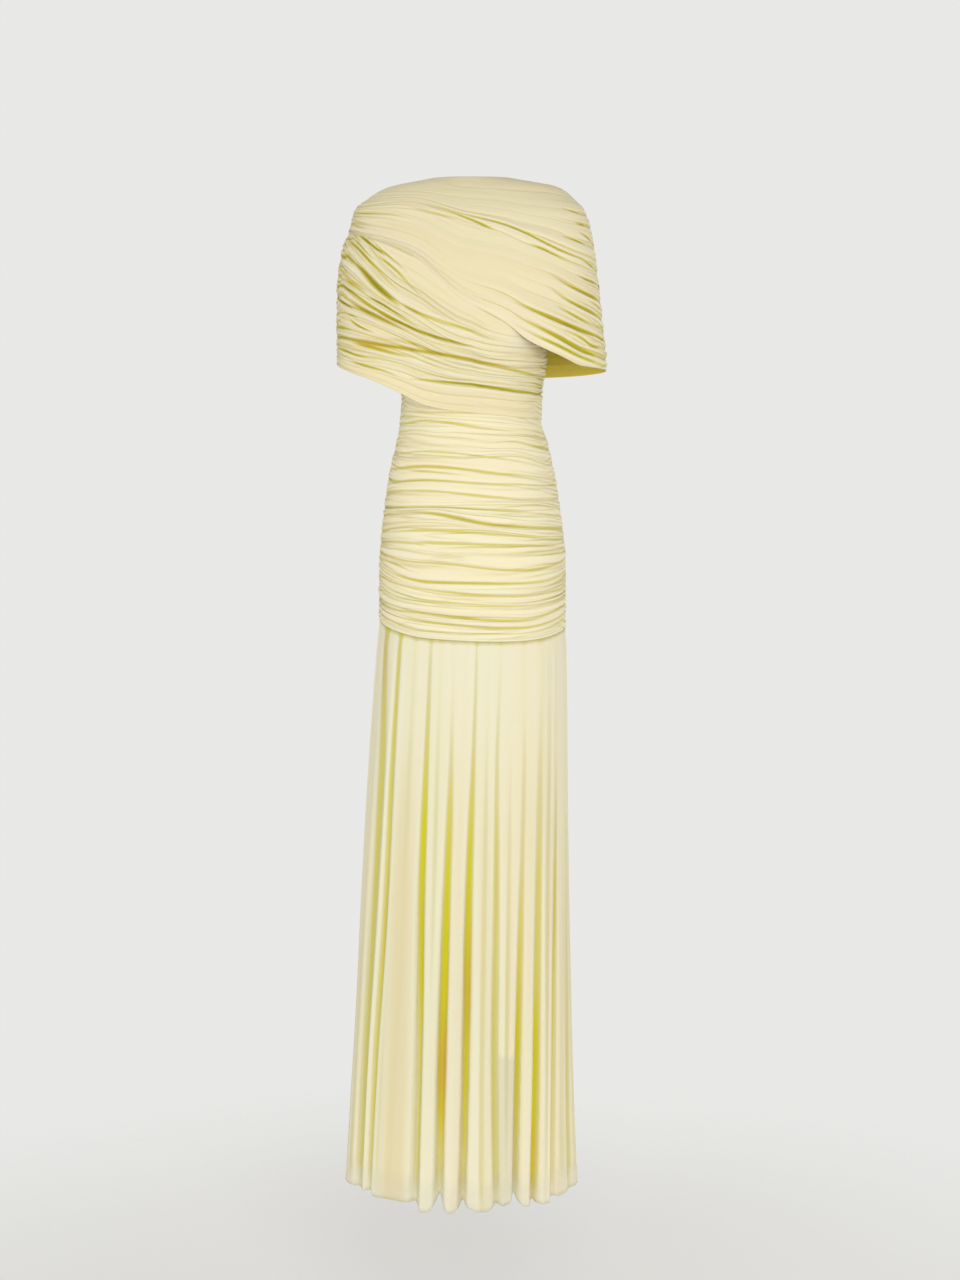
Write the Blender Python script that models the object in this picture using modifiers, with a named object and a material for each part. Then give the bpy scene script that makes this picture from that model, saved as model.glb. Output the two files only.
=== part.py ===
"""Draped wrap gown: a wrapped, gathered drape over a ruched body and a long folded skirt.

Lengths are metres. X runs across the front, the front faces -Y and Z is up. The origin is in the
middle of the neckline, at the height where the shoulders carry the gown. Heights in the tables are
drops below the origin. A place across a panel runs from 0 at its left seam to 1 at its right seam,
left and right as the front is seen.
"""
import math
from bisect import bisect_right
from collections import namedtuple

import bmesh
import bpy
from mathutils import Vector

CLOTH = 0.0015           # wall of every outer piece
LINING_CLOTH = 0.0012    # wall of the under-skirt
LAYER_GAP = 0.0004       # air between a piece and the one it lies on
HALF_SEAM = 0.0004       # half of the gap where a front meets a back
HIP_GAP = 0.0007         # gap of the seam that hangs the skirt from the body
NECK_DROP = 0.003        # the neckline, just below the top of the shoulders
TUCKED_UNDER = 0.020     # how far the lower wrap reaches up under the upper wrap
WRAP_LOFT = 0.0006       # extra air under the upper wrap, whose facets run at a slant
WRAP_EASE = 0.012        # height over which folds rise from under the upper wrap's edge
STEEPEST = 0.28          # most a fold stands out, as a share of its width
SEAM_PULL = 0.45         # share of a fold's height that is lost where it is sewn down
SEAM_PULL_REACH = 0.06   # how far across a panel that pull reaches
HEM_DROP = 1.500
SLOPE_STEP = 0.0002      # step for reading the form's slopes

BODY_COLUMNS = 8
DRAPE_COLUMNS = 16       # twice the body's, so that the layers' facets stay parallel
LINING_COLUMNS = 12
ROWS_PER_FOLD = 3

FRONT = -1
BACK = 1

# The worn form: half-widths over both arms (drape) and of the trunk (body), and depths.
Section = namedtuple("Section", "drop drape_left drape_right body_left body_right front back")
SECTIONS = (
    Section(0.003, 0.068, 0.068, 0.060, 0.060, 0.054, 0.058),
    Section(0.015, 0.126, 0.130, 0.080, 0.080, 0.067, 0.074),
    Section(0.030, 0.153, 0.150, 0.100, 0.100, 0.079, 0.089),
    Section(0.045, 0.170, 0.163, 0.110, 0.110, 0.088, 0.099),
    Section(0.075, 0.178, 0.174, 0.118, 0.118, 0.100, 0.109),
    Section(0.105, 0.189, 0.179, 0.122, 0.122, 0.110, 0.113),
    Section(0.135, 0.195, 0.183, 0.124, 0.124, 0.118, 0.114),
    Section(0.165, 0.197, 0.186, 0.124, 0.124, 0.1225, 0.112),
    Section(0.210, 0.198, 0.190, 0.121, 0.119, 0.1235, 0.106),
    Section(0.255, 0.198, 0.195, 0.114, 0.111, 0.1150, 0.097),
    Section(0.285, 0.199, 0.198, 0.108, 0.107, 0.1050, 0.090),
    Section(0.330, 0.199, 0.199, 0.104, 0.101, 0.0930, 0.082),
    Section(0.365, 0.199, 0.199, 0.106, 0.102, 0.0875, 0.079),
    Section(0.390, 0.199, 0.199, 0.110, 0.110, 0.0880, 0.083),
    Section(0.420, 0.199, 0.199, 0.117, 0.117, 0.0910, 0.092),
    Section(0.450, 0.199, 0.199, 0.123, 0.123, 0.0960, 0.103),
    Section(0.510, 0.199, 0.199, 0.131, 0.132, 0.1030, 0.121),
    Section(0.570, 0.199, 0.199, 0.136, 0.138, 0.1060, 0.130),
    Section(0.660, 0.199, 0.199, 0.137, 0.138, 0.1050, 0.129),
    Section(0.700, 0.199, 0.199, 0.141, 0.140, 0.1070, 0.127),
    Section(0.780, 0.199, 0.199, 0.147, 0.141, 0.1110, 0.128),
    Section(0.930, 0.199, 0.199, 0.157, 0.142, 0.1210, 0.135),
    Section(1.080, 0.199, 0.199, 0.165, 0.144, 0.1310, 0.143),
    Section(1.230, 0.199, 0.199, 0.172, 0.147, 0.1400, 0.151),
    Section(1.380, 0.199, 0.199, 0.181, 0.151, 0.1480, 0.160),
    Section(1.500, 0.199, 0.199, 0.188, 0.156, 0.1540, 0.167),
)

Edge = namedtuple("Edge", "across drop")
UPPER_WRAP_EDGE = (
    Edge(0.00, 0.0800),
    Edge(0.11, 0.0862),
    Edge(0.23, 0.0975),
    Edge(0.33, 0.1150),
    Edge(0.38, 0.1310),
    Edge(0.42, 0.1540),
    Edge(0.48, 0.1870),
    Edge(0.58, 0.2200),
    Edge(0.64, 0.2460),
    Edge(0.72, 0.2655),
    Edge(0.80, 0.2810),
    Edge(1.00, 0.2870),
)
LOWER_WRAP_TOP = (
    Edge(0.00, 0.0660),
    Edge(0.11, 0.0665),
    Edge(0.23, 0.0775),
    Edge(0.33, 0.0950),
    Edge(0.38, 0.1110),
    Edge(0.42, 0.1340),
    Edge(0.48, 0.1650),
    Edge(0.58, 0.1900),
    Edge(0.70, 0.2030),
    Edge(1.00, 0.2150),
)
LOWER_WRAP_EDGE = (
    Edge(0.00, 0.2745),
    Edge(0.16, 0.2914),
    Edge(0.24, 0.3023),
    Edge(0.33, 0.3225),
    Edge(0.39, 0.3390),
    Edge(0.45, 0.3468),
    Edge(0.52, 0.3511),
    Edge(0.67, 0.3553),
    Edge(1.00, 0.3610),
)
BACK_DRAPE_EDGE = (
    Edge(0.00, 0.2745),
    Edge(0.35, 0.2910),
    Edge(0.65, 0.2940),
    Edge(1.00, 0.2870),
)

# Gathered creases. The first five columns say where a crease runs at the places across in
# LINE_PLACES, and the last four how far the cloth stands out beside it at DEPTH_PLACES. On the
# drapes a crease runs at a share of the way from the top edge to the lower edge, and on the body
# at a drop.
LINE_PLACES = (0.0, 0.15, 0.35, 0.65, 1.0)
DEPTH_PLACES = (0.0, 0.30, 0.65, 1.0)
Gather = namedtuple(
    "Gather", "left near inner far right left_depth inner_depth far_depth right_depth"
)


def plain(line):
    """A straight, flat line across a panel, such as its edge."""
    return Gather(line, line, line, line, line, 0.0, 0.0, 0.0, 0.0)


UPPER_WRAP_GATHERS = (
    plain(0.0),
    Gather(0.14, 0.13, 0.11, 0.090, 0.090, 0.0003, 0.0000, 0.0005, 0.0015),
    Gather(0.27, 0.24, 0.21, 0.170, 0.190, 0.0004, 0.0003, 0.0008, 0.0030),
    Gather(0.36, 0.32, 0.27, 0.240, 0.260, 0.0005, 0.0003, 0.0005, 0.0025),
    Gather(0.43, 0.38, 0.30, 0.300, 0.345, 0.0005, 0.0005, 0.0005, 0.0030),
    Gather(0.48, 0.42, 0.335, 0.360, 0.440, 0.0006, 0.0015, 0.0028, 0.0030),
    Gather(0.53, 0.47, 0.375, 0.425, 0.510, 0.0008, 0.0030, 0.0025, 0.0015),
    Gather(0.60, 0.595, 0.56, 0.500, 0.560, 0.0020, 0.0010, 0.0000, 0.0025),
    Gather(0.70, 0.69, 0.66, 0.555, 0.640, 0.0012, 0.0003, 0.0010, 0.0040),
    Gather(0.80, 0.79, 0.75, 0.630, 0.735, 0.0012, 0.0000, 0.0012, 0.0050),
    Gather(0.88, 0.87, 0.83, 0.720, 0.810, 0.0010, 0.0002, 0.0008, 0.0030),
    Gather(0.94, 0.93, 0.90, 0.810, 0.885, 0.0010, 0.0008, 0.0050, 0.0055),
    Gather(0.97, 0.965, 0.95, 0.895, 0.950, 0.0010, 0.0012, 0.0040, 0.0045),
    plain(1.0),
)
LOWER_WRAP_GATHERS = (
    plain(0.0),
    Gather(0.03, 0.07, 0.28, 0.245, 0.10, 0.0000, 0.0020, 0.0010, 0.0005),
    Gather(0.08, 0.15, 0.33, 0.293, 0.18, 0.0015, 0.0030, 0.0010, 0.0010),
    Gather(0.17, 0.26, 0.43, 0.357, 0.27, 0.0030, 0.0060, 0.0025, 0.0010),
    Gather(0.28, 0.36, 0.48, 0.414, 0.34, 0.0020, 0.0030, 0.0010, 0.0010),
    Gather(0.38, 0.455, 0.53, 0.474, 0.41, 0.0035, 0.0050, 0.0025, 0.0015),
    Gather(0.48, 0.565, 0.59, 0.534, 0.47, 0.0035, 0.0035, 0.0015, 0.0015),
    Gather(0.60, 0.63, 0.64, 0.590, 0.53, 0.0020, 0.0020, 0.0010, 0.0020),
    Gather(0.72, 0.71, 0.69, 0.630, 0.575, 0.0035, 0.0025, 0.0010, 0.0020),
    Gather(0.79, 0.78, 0.73, 0.662, 0.62, 0.0025, 0.0035, 0.0015, 0.0025),
    Gather(0.87, 0.87, 0.79, 0.700, 0.67, 0.0025, 0.0020, 0.0010, 0.0025),
    Gather(0.93, 0.92, 0.85, 0.750, 0.73, 0.0020, 0.0030, 0.0040, 0.0040),
    Gather(0.96, 0.955, 0.91, 0.854, 0.82, 0.0008, 0.0010, 0.0010, 0.0030),
    Gather(0.985, 0.985, 0.965, 0.934, 0.91, 0.0005, 0.0008, 0.0005, 0.0025),
    plain(1.0),
)
BACK_DRAPE_GATHERS = (
    plain(0.0),
    Gather(0.16, 0.14, 0.12, 0.12, 0.14, 0.0010, 0.0003, 0.0003, 0.0010),
    Gather(0.31, 0.30, 0.25, 0.24, 0.27, 0.0025, 0.0008, 0.0010, 0.0025),
    Gather(0.42, 0.43, 0.40, 0.37, 0.38, 0.0040, 0.0015, 0.0020, 0.0035),
    Gather(0.52, 0.55, 0.54, 0.50, 0.49, 0.0045, 0.0025, 0.0015, 0.0045),
    Gather(0.62, 0.66, 0.67, 0.63, 0.60, 0.0045, 0.0020, 0.0025, 0.0045),
    Gather(0.72, 0.76, 0.78, 0.75, 0.71, 0.0040, 0.0030, 0.0025, 0.0045),
    Gather(0.82, 0.85, 0.87, 0.85, 0.82, 0.0035, 0.0020, 0.0030, 0.0040),
    Gather(0.91, 0.93, 0.94, 0.93, 0.92, 0.0025, 0.0015, 0.0015, 0.0030),
    plain(1.0),
)
BODY_FRONT_GATHERS = (
    plain(0.150),
    plain(0.200),
    plain(0.250),
    plain(0.300),
    Gather(0.3300, 0.3420, 0.3520, 0.3595, 0.3665, 0.0000, 0.0000, 0.0000, 0.0000),
    Gather(0.3500, 0.3540, 0.3575, 0.3660, 0.3745, 0.0025, 0.0020, 0.0020, 0.0025),
    Gather(0.3700, 0.3655, 0.3636, 0.3730, 0.3826, 0.0020, 0.0015, 0.0015, 0.0020),
    Gather(0.3826, 0.3840, 0.3846, 0.3919, 0.4035, 0.0025, 0.0025, 0.0020, 0.0025),
    Gather(0.4072, 0.4100, 0.4115, 0.4181, 0.4274, 0.0025, 0.0020, 0.0025, 0.0025),
    Gather(0.4289, 0.4310, 0.4326, 0.4399, 0.4482, 0.0025, 0.0025, 0.0020, 0.0025),
    Gather(0.4509, 0.4495, 0.4486, 0.4552, 0.4631, 0.0030, 0.0025, 0.0030, 0.0030),
    Gather(0.4721, 0.4680, 0.4646, 0.4742, 0.4795, 0.0025, 0.0020, 0.0025, 0.0025),
    Gather(0.4900, 0.4890, 0.4879, 0.4850, 0.4915, 0.0025, 0.0025, 0.0025, 0.0025),
    Gather(0.5034, 0.5010, 0.4995, 0.5141, 0.5265, 0.0025, 0.0030, 0.0040, 0.0025),
    Gather(0.5254, 0.5210, 0.5184, 0.5286, 0.5375, 0.0030, 0.0030, 0.0030, 0.0025),
    Gather(0.5429, 0.5420, 0.5417, 0.5460, 0.5429, 0.0025, 0.0030, 0.0025, 0.0020),
    Gather(0.5511, 0.5600, 0.5679, 0.5795, 0.5669, 0.0025, 0.0035, 0.0040, 0.0030),
    Gather(0.5669, 0.5820, 0.5969, 0.6013, 0.5839, 0.0030, 0.0045, 0.0040, 0.0030),
    Gather(0.5794, 0.5980, 0.6129, 0.6173, 0.6041, 0.0030, 0.0035, 0.0035, 0.0035),
    Gather(0.5997, 0.6160, 0.6282, 0.6313, 0.6152, 0.0030, 0.0030, 0.0035, 0.0030),
    Gather(0.6197, 0.6340, 0.6449, 0.6493, 0.6316, 0.0035, 0.0030, 0.0030, 0.0030),
    Gather(0.6301, 0.6455, 0.6573, 0.6638, 0.6413, 0.0025, 0.0035, 0.0040, 0.0025),
    Gather(0.6390, 0.6555, 0.6682, 0.6711, 0.6521, 0.0025, 0.0030, 0.0035, 0.0025),
    Gather(0.6521, 0.6675, 0.6798, 0.6842, 0.6685, 0.0025, 0.0030, 0.0030, 0.0025),
)
BACK_SAG_WAIST = 0.004     # how far a crease of the back hangs below its ends at the waist
BACK_SAG_HIP = 0.024       # and at the hip
BACK_SAG_FROM = 0.480
BACK_SAG_NEAR = 0.62       # share of the sag at the first place in from the left seam
BACK_UNEVEN = 0.0016       # how far neighbouring creases of the back wander
BACK_WANDER_STEP = 2.3     # radians from one crease's wander to the next
BACK_SKIPS_ONE_IN = 3      # the back leaves out one in so many of the front's creases

# Skirt folds: a groove's place across at knee and hem, where it starts, how deep it gets at the
# hem and its half-width across.
Groove = namedtuple("Groove", "knee hem start depth half_width")
FRONT_GROOVES = (
    Groove(0.165, 0.156, 0.675, 0.014, 0.020),
    Groove(0.221, 0.198, 0.680, 0.014, 0.020),
    Groove(0.355, 0.353, 0.720, 0.030, 0.028),
    Groove(0.431, 0.417, 0.740, 0.028, 0.028),
    Groove(0.495, 0.4765, 0.740, 0.030, 0.026),
    Groove(0.584, 0.565, 0.800, 0.018, 0.030),
    Groove(0.667, 0.633, 0.860, 0.022, 0.028),
    Groove(0.734, 0.705, 0.840, 0.022, 0.026),
    Groove(0.815, 0.776, 0.800, 0.020, 0.026),
    Groove(0.905, 0.870, 0.950, 0.012, 0.030),
)
BACK_GROOVES = (
    Groove(0.085, 0.080, 0.900, 0.010, 0.024),
    Groove(0.190, 0.180, 0.760, 0.020, 0.028),
    Groove(0.275, 0.262, 0.720, 0.026, 0.028),
    Groove(0.352, 0.345, 0.740, 0.022, 0.026),
    Groove(0.455, 0.450, 0.700, 0.028, 0.030),
    Groove(0.530, 0.532, 0.740, 0.026, 0.028),
    Groove(0.632, 0.638, 0.720, 0.028, 0.030),
    Groove(0.715, 0.722, 0.800, 0.018, 0.026),
    Groove(0.790, 0.800, 0.760, 0.022, 0.026),
    Groove(0.890, 0.900, 0.860, 0.014, 0.028),
)
KNEE_DROP = 1.080
GROOVE_STEPS = (-1.0, -0.4, 0.0, 0.4, 1.0)
SKIRT_ROW_SHARES = (0.0, 0.07, 0.18, 0.34, 0.54, 0.76, 1.0)

LINING_HEM = (
    Edge(0.00, 1.330),
    Edge(0.20, 1.345),
    Edge(0.43, 1.365),
    Edge(0.57, 1.276),
    Edge(0.80, 1.290),
    Edge(1.00, 1.330),
)
LINING_ROW_SHARES = (0.0, 0.04, 0.10, 0.22, 0.42, 0.70, 1.0)
LINING_CLEAR = 0.003     # extra room between the under-skirt and the deepest groove
LINING_LOOK_AHEAD = 0.100  # the room is that of the grooves this far below

DRAPE_COLOUR = (0.76, 0.68, 0.44)
BODY_COLOUR = (0.84, 0.77, 0.50)
SKIRT_COLOUR = (0.79, 0.73, 0.50)
LINING_COLOUR = (0.82, 0.73, 0.47)
CLOTH_ROUGHNESS = 0.75


def smooth_step(share):
    """An eased rise from 0 to 1."""
    share = min(max(share, 0.0), 1.0)
    return share * share * (3.0 - 2.0 * share)


def mix(first, second, share):
    """The value a share of the way from first to second."""
    return first + (second - first) * share


def smooth_curve(keys, values, at):
    """A smooth curve through rising keys, which never overshoots and is held past both ends."""
    if at <= keys[0]:
        return values[0]
    if at >= keys[-1]:
        return values[-1]
    index = bisect_right(keys, at) - 1

    def slope(step):
        return (values[step + 1] - values[step]) / (keys[step + 1] - keys[step])

    def tangent(point):
        if point == 0:
            return slope(0)
        if point == len(keys) - 1:
            return slope(point - 1)
        before = slope(point - 1)
        after = slope(point)
        if before * after <= 0.0:
            return 0.0
        return 2.0 * before * after / (before + after)

    span = keys[index + 1] - keys[index]
    share = (at - keys[index]) / span
    squared = share * share
    cubed = squared * share
    return (
        values[index] * (2.0 * cubed - 3.0 * squared + 1.0)
        + values[index + 1] * (3.0 * squared - 2.0 * cubed)
        + span * tangent(index) * (cubed - 2.0 * squared + share)
        + span * tangent(index + 1) * (cubed - squared)
    )


SECTION_DROPS = [section.drop for section in SECTIONS]
SECTION_COLUMNS = {
    name: [getattr(section, name) for section in SECTIONS] for name in Section._fields
}


def form_size(column, drop):
    """A named size of the worn form at a drop."""
    return smooth_curve(SECTION_DROPS, SECTION_COLUMNS[column], drop)


def edge_drop(edge, across):
    """The drop of an edge at a place across."""
    return smooth_curve([point.across for point in edge], [point.drop for point in edge], across)


def worn_form(side, left, right):
    """A function that gives the form's point on one side, between two columns of half-widths."""
    depth = "front" if side == FRONT else "back"

    def point(across, drop):
        angle = math.pi * across
        half_width = form_size(left if across < 0.5 else right, drop)
        return Vector((
            -half_width * math.cos(angle),
            side * (HALF_SEAM + form_size(depth, drop) * math.sin(angle)),
            -drop,
        ))

    def outset_point(across, drop, outset):
        sideways = point(across + SLOPE_STEP, drop) - point(across - SLOPE_STEP, drop)
        downwards = point(across, drop + SLOPE_STEP) - point(across, drop - SLOPE_STEP)
        normal = sideways.cross(downwards) * side
        normal.normalize()
        return point(across, drop) + normal * outset

    return outset_point


def cloth_panel(name, columns, rows, place, wall, colour, collection):
    """A cloth piece: a grid laid on place(column, row), given its wall on the inner side."""
    sheet = bmesh.new()
    bmesh.ops.create_grid(sheet, x_segments=columns, y_segments=rows, size=0.5)
    for vertex in sheet.verts:
        column = round((vertex.co.x + 0.5) * columns)
        row = round((0.5 - vertex.co.y) * rows)
        vertex.co = place(column, row)
    middle = sum((vertex.co for vertex in sheet.verts), Vector()) / len(sheet.verts)
    sheet.normal_update()
    outward = sum(face.normal.y * face.calc_area() for face in sheet.faces)
    if outward * middle.y < 0.0:
        bmesh.ops.reverse_faces(sheet, faces=sheet.faces)
    mesh = bpy.data.meshes.new(name)
    sheet.to_mesh(mesh)
    sheet.free()
    mesh.shade_smooth()
    panel = bpy.data.objects.new(name, mesh)
    collection.objects.link(panel)
    thickness = panel.modifiers.new("Cloth wall", "SOLIDIFY")
    thickness.thickness = wall
    thickness.offset = -1.0
    material = bpy.data.materials.new(name)
    material.use_nodes = True
    surface = material.node_tree.nodes["Principled BSDF"]
    surface.inputs["Base Color"].default_value = (*colour, 1.0)
    surface.inputs["Roughness"].default_value = CLOTH_ROUGHNESS
    surface.inputs["Metallic"].default_value = 0.0
    mesh.materials.append(material)
    return panel


def ridge(share):
    """The rounded rise of a fold between two creases, from 0 to 1 and back."""
    return (4.0 * share * (1.0 - share)) ** 0.6


def seam_ease(across):
    """How much of its height a fold keeps, near the seams at both ends."""
    from_seam = min(across, 1.0 - across)
    return 1.0 - SEAM_PULL * (1.0 - smooth_step(from_seam / SEAM_PULL_REACH))


def fold_rows(gathers):
    """How many rows a panel with these creases has."""
    return (len(gathers) - 1) * ROWS_PER_FOLD


def gathered_place(form, gathers, columns, base, to_drop, calm):
    """The place function of a panel whose rows run along its creases.

    to_drop turns a crease's line into a drop, and calm gives the share of a fold's height that is
    kept at a place, which is 0 where another piece lies on top.
    """
    def place(column, row):
        across = column / columns
        index = min(row // ROWS_PER_FOLD, len(gathers) - 2)
        share = row / ROWS_PER_FOLD - index
        above = gathers[index]
        below = gathers[index + 1]
        upper = to_drop(smooth_curve(LINE_PLACES, above[:5], across), across)
        lower = to_drop(smooth_curve(LINE_PLACES, below[:5], across), across)
        drop = mix(upper, lower, share)
        depth = mix(
            smooth_curve(DEPTH_PLACES, above[5:], across),
            smooth_curve(DEPTH_PLACES, below[5:], across),
            share,
        )
        height = min(depth, STEEPEST * (lower - upper)) * ridge(share)
        return form(across, drop, base + height * seam_ease(across) * calm(across, drop))

    return place


def always(_across, _drop):
    """Folds at their full height everywhere."""
    return 1.0


def make_upper_wrap(collection):
    """The top layer: from the left shoulder seam, widening to the right outer-arm seam."""
    form = worn_form(FRONT, "drape_left", "drape_right")
    base = 3.0 * CLOTH + 2.0 * LAYER_GAP + WRAP_LOFT

    def to_drop(line, across):
        return mix(NECK_DROP, edge_drop(UPPER_WRAP_EDGE, across), line)

    place = gathered_place(form, UPPER_WRAP_GATHERS, DRAPE_COLUMNS, base, to_drop, always)
    rows = fold_rows(UPPER_WRAP_GATHERS)
    cloth_panel(
        "upper_drape_front", DRAPE_COLUMNS, rows, place, CLOTH, DRAPE_COLOUR, collection
    )


def make_lower_wrap(collection):
    """The layer under it: from the left outer-arm seam to the body's right side seam."""
    form = worn_form(FRONT, "drape_left", "body_right")
    base = 2.0 * CLOTH + LAYER_GAP

    def to_drop(line, across):
        return mix(edge_drop(LOWER_WRAP_TOP, across), edge_drop(LOWER_WRAP_EDGE, across), line)

    def calm(across, drop):
        covered = edge_drop(LOWER_WRAP_TOP, across) + TUCKED_UNDER
        return smooth_step((drop - covered) / WRAP_EASE)

    place = gathered_place(form, LOWER_WRAP_GATHERS, DRAPE_COLUMNS, base, to_drop, calm)
    rows = fold_rows(LOWER_WRAP_GATHERS)
    cloth_panel(
        "lower_drape_front", DRAPE_COLUMNS, rows, place, CLOTH, DRAPE_COLOUR, collection
    )


def make_back_drape(collection):
    """The back of the drape, gathered into both outer-arm seams."""
    form = worn_form(BACK, "drape_left", "drape_right")
    base = 2.0 * CLOTH + LAYER_GAP

    def to_drop(line, across):
        return mix(NECK_DROP, edge_drop(BACK_DRAPE_EDGE, across), line)

    place = gathered_place(form, BACK_DRAPE_GATHERS, DRAPE_COLUMNS, base, to_drop, always)
    rows = fold_rows(BACK_DRAPE_GATHERS)
    cloth_panel("drape_back", DRAPE_COLUMNS, rows, place, CLOTH, DRAPE_COLOUR, collection)


def back_body_gathers():
    """The creases of the body's back: wider apart than the front's, and sagging between the seams."""
    creases = BODY_FRONT_GATHERS
    last = len(creases) - 1
    first = next(index for index, crease in enumerate(creases) if crease.right > crease.left)
    reach = creases[last].left - BACK_SAG_FROM
    gathers = list(creases[:first])
    for index in range(first, last + 1):
        if index % BACK_SKIPS_ONE_IN == 0 and first < index < last:
            continue
        left = creases[index].left
        right = creases[index].right
        sag = mix(BACK_SAG_WAIST, BACK_SAG_HIP, smooth_step((left - BACK_SAG_FROM) / reach))
        wander = BACK_UNEVEN * math.sin(BACK_WANDER_STEP * index) * (index < last)
        gathers.append(creases[index]._replace(
            near=mix(left, right, LINE_PLACES[1]) + BACK_SAG_NEAR * sag,
            inner=mix(left, right, LINE_PLACES[2]) + sag + wander,
            far=mix(left, right, LINE_PLACES[3]) + sag - wander,
        ))
    return gathers


def hip_seam(gathers, across):
    """The drop of the hip seam, straight between the body's columns."""
    column = min(int(across * BODY_COLUMNS), BODY_COLUMNS - 1)
    first = smooth_curve(LINE_PLACES, gathers[-1][:5], column / BODY_COLUMNS)
    second = smooth_curve(LINE_PLACES, gathers[-1][:5], (column + 1) / BODY_COLUMNS)
    return mix(first, second, across * BODY_COLUMNS - column)


def make_body(name, side, gathers, collection):
    """One side of the ruched body, from under the drape to the hip seam."""
    form = worn_form(side, "body_left", "body_right")

    def to_drop(line, _across):
        return line

    place = gathered_place(form, gathers, BODY_COLUMNS, CLOTH, to_drop, always)
    cloth_panel(name, BODY_COLUMNS, fold_rows(gathers), place, CLOTH, BODY_COLOUR, collection)


def groove_place(groove, drop):
    """Where a groove runs across the skirt at a drop."""
    return mix(groove.knee, groove.hem, (drop - KNEE_DROP) / (HEM_DROP - KNEE_DROP))


def groove_depth(groove, drop):
    """How deep a groove is at a drop: quickly deep below its start, and deepest at the hem."""
    share = min(max((drop - groove.start) / (HEM_DROP - groove.start), 0.0), 1.0)
    return groove.depth * (1.0 - (1.0 - share) ** 2)


def skirt_inset(grooves, across, drop):
    """How far the skirt lies inside its form, in the grooves between its folds."""
    inset = 0.0
    for groove in grooves:
        away = abs(across - groove_place(groove, drop)) / groove.half_width
        if away < 1.0:
            inset = max(inset, groove_depth(groove, drop) * (1.0 - away) ** 2)
    return inset


def skirt_stations(grooves, drop):
    """Places across for the skirt's columns at a drop: in each groove, and midway between them."""
    stations = [0.0]
    for groove in grooves:
        centre = groove_place(groove, drop)
        stations.append(mix(stations[-1], centre - groove.half_width, 0.5))
        stations.extend(centre + step * groove.half_width for step in GROOVE_STEPS)
    stations.append(mix(stations[-1], 1.0, 0.5))
    stations.append(1.0)
    return stations


def make_skirt(name, side, gathers, grooves, collection):
    """One side of the outer skirt, whose columns follow its grooves."""
    form = worn_form(side, "body_left", "body_right")
    middle_top = hip_seam(gathers, 0.5)
    columns = len(skirt_stations(grooves, middle_top)) - 1

    def place(column, row):
        share = SKIRT_ROW_SHARES[row]
        across = skirt_stations(grooves, mix(middle_top, HEM_DROP, share))[column]
        drop = mix(hip_seam(gathers, across) + HIP_GAP, HEM_DROP, share)
        return form(across, drop, CLOTH - skirt_inset(grooves, across, drop))

    cloth_panel(
        name, columns, len(SKIRT_ROW_SHARES) - 1, place, CLOTH, SKIRT_COLOUR, collection
    )


def make_lining(name, side, gathers, grooves, collection):
    """One side of the under-skirt, inside the skirt's deepest grooves."""
    form = worn_form(side, "body_left", "body_right")

    def place(column, row):
        across = column / LINING_COLUMNS
        top = hip_seam(gathers, across) + HIP_GAP
        drop = mix(top, edge_drop(LINING_HEM, across), LINING_ROW_SHARES[row])
        if row == 0:
            return form(across, drop, -LAYER_GAP)
        deepest = max(groove_depth(groove, drop + LINING_LOOK_AHEAD) for groove in grooves)
        return form(across, drop, -LAYER_GAP - LINING_CLEAR - deepest)

    rows = len(LINING_ROW_SHARES) - 1
    cloth_panel(name, LINING_COLUMNS, rows, place, LINING_CLOTH, LINING_COLOUR, collection)


def main():
    """Clears the scene and makes the gown's pieces in one collection."""
    for item in list(bpy.data.objects):
        bpy.data.objects.remove(item)
    gown = bpy.data.collections.new("draped_wrap_gown")
    bpy.context.scene.collection.children.link(gown)
    back_gathers = back_body_gathers()
    make_upper_wrap(gown)
    make_lower_wrap(gown)
    make_back_drape(gown)
    make_body("body_front", FRONT, BODY_FRONT_GATHERS, gown)
    make_body("body_back", BACK, back_gathers, gown)
    make_skirt("skirt_front", FRONT, BODY_FRONT_GATHERS, FRONT_GROOVES, gown)
    make_skirt("skirt_back", BACK, back_gathers, BACK_GROOVES, gown)
    deepest_grooves = FRONT_GROOVES + BACK_GROOVES
    make_lining("lining_front", FRONT, BODY_FRONT_GATHERS, deepest_grooves, gown)
    make_lining("lining_back", BACK, back_gathers, deepest_grooves, gown)


main()
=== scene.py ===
"""Draped wrap gown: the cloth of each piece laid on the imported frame, with a studio stage.

Lengths are metres. X runs across the front, the front faces -Y and Z is up. A drop is a height below the
origin, which is in the middle of the neckline. A place across a panel runs from 0 at its left seam to 1
at its right seam, left and right as the front is seen. Long tables hold whole numbers, and the comment
above them gives their units.
"""
import math
from collections import namedtuple

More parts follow.
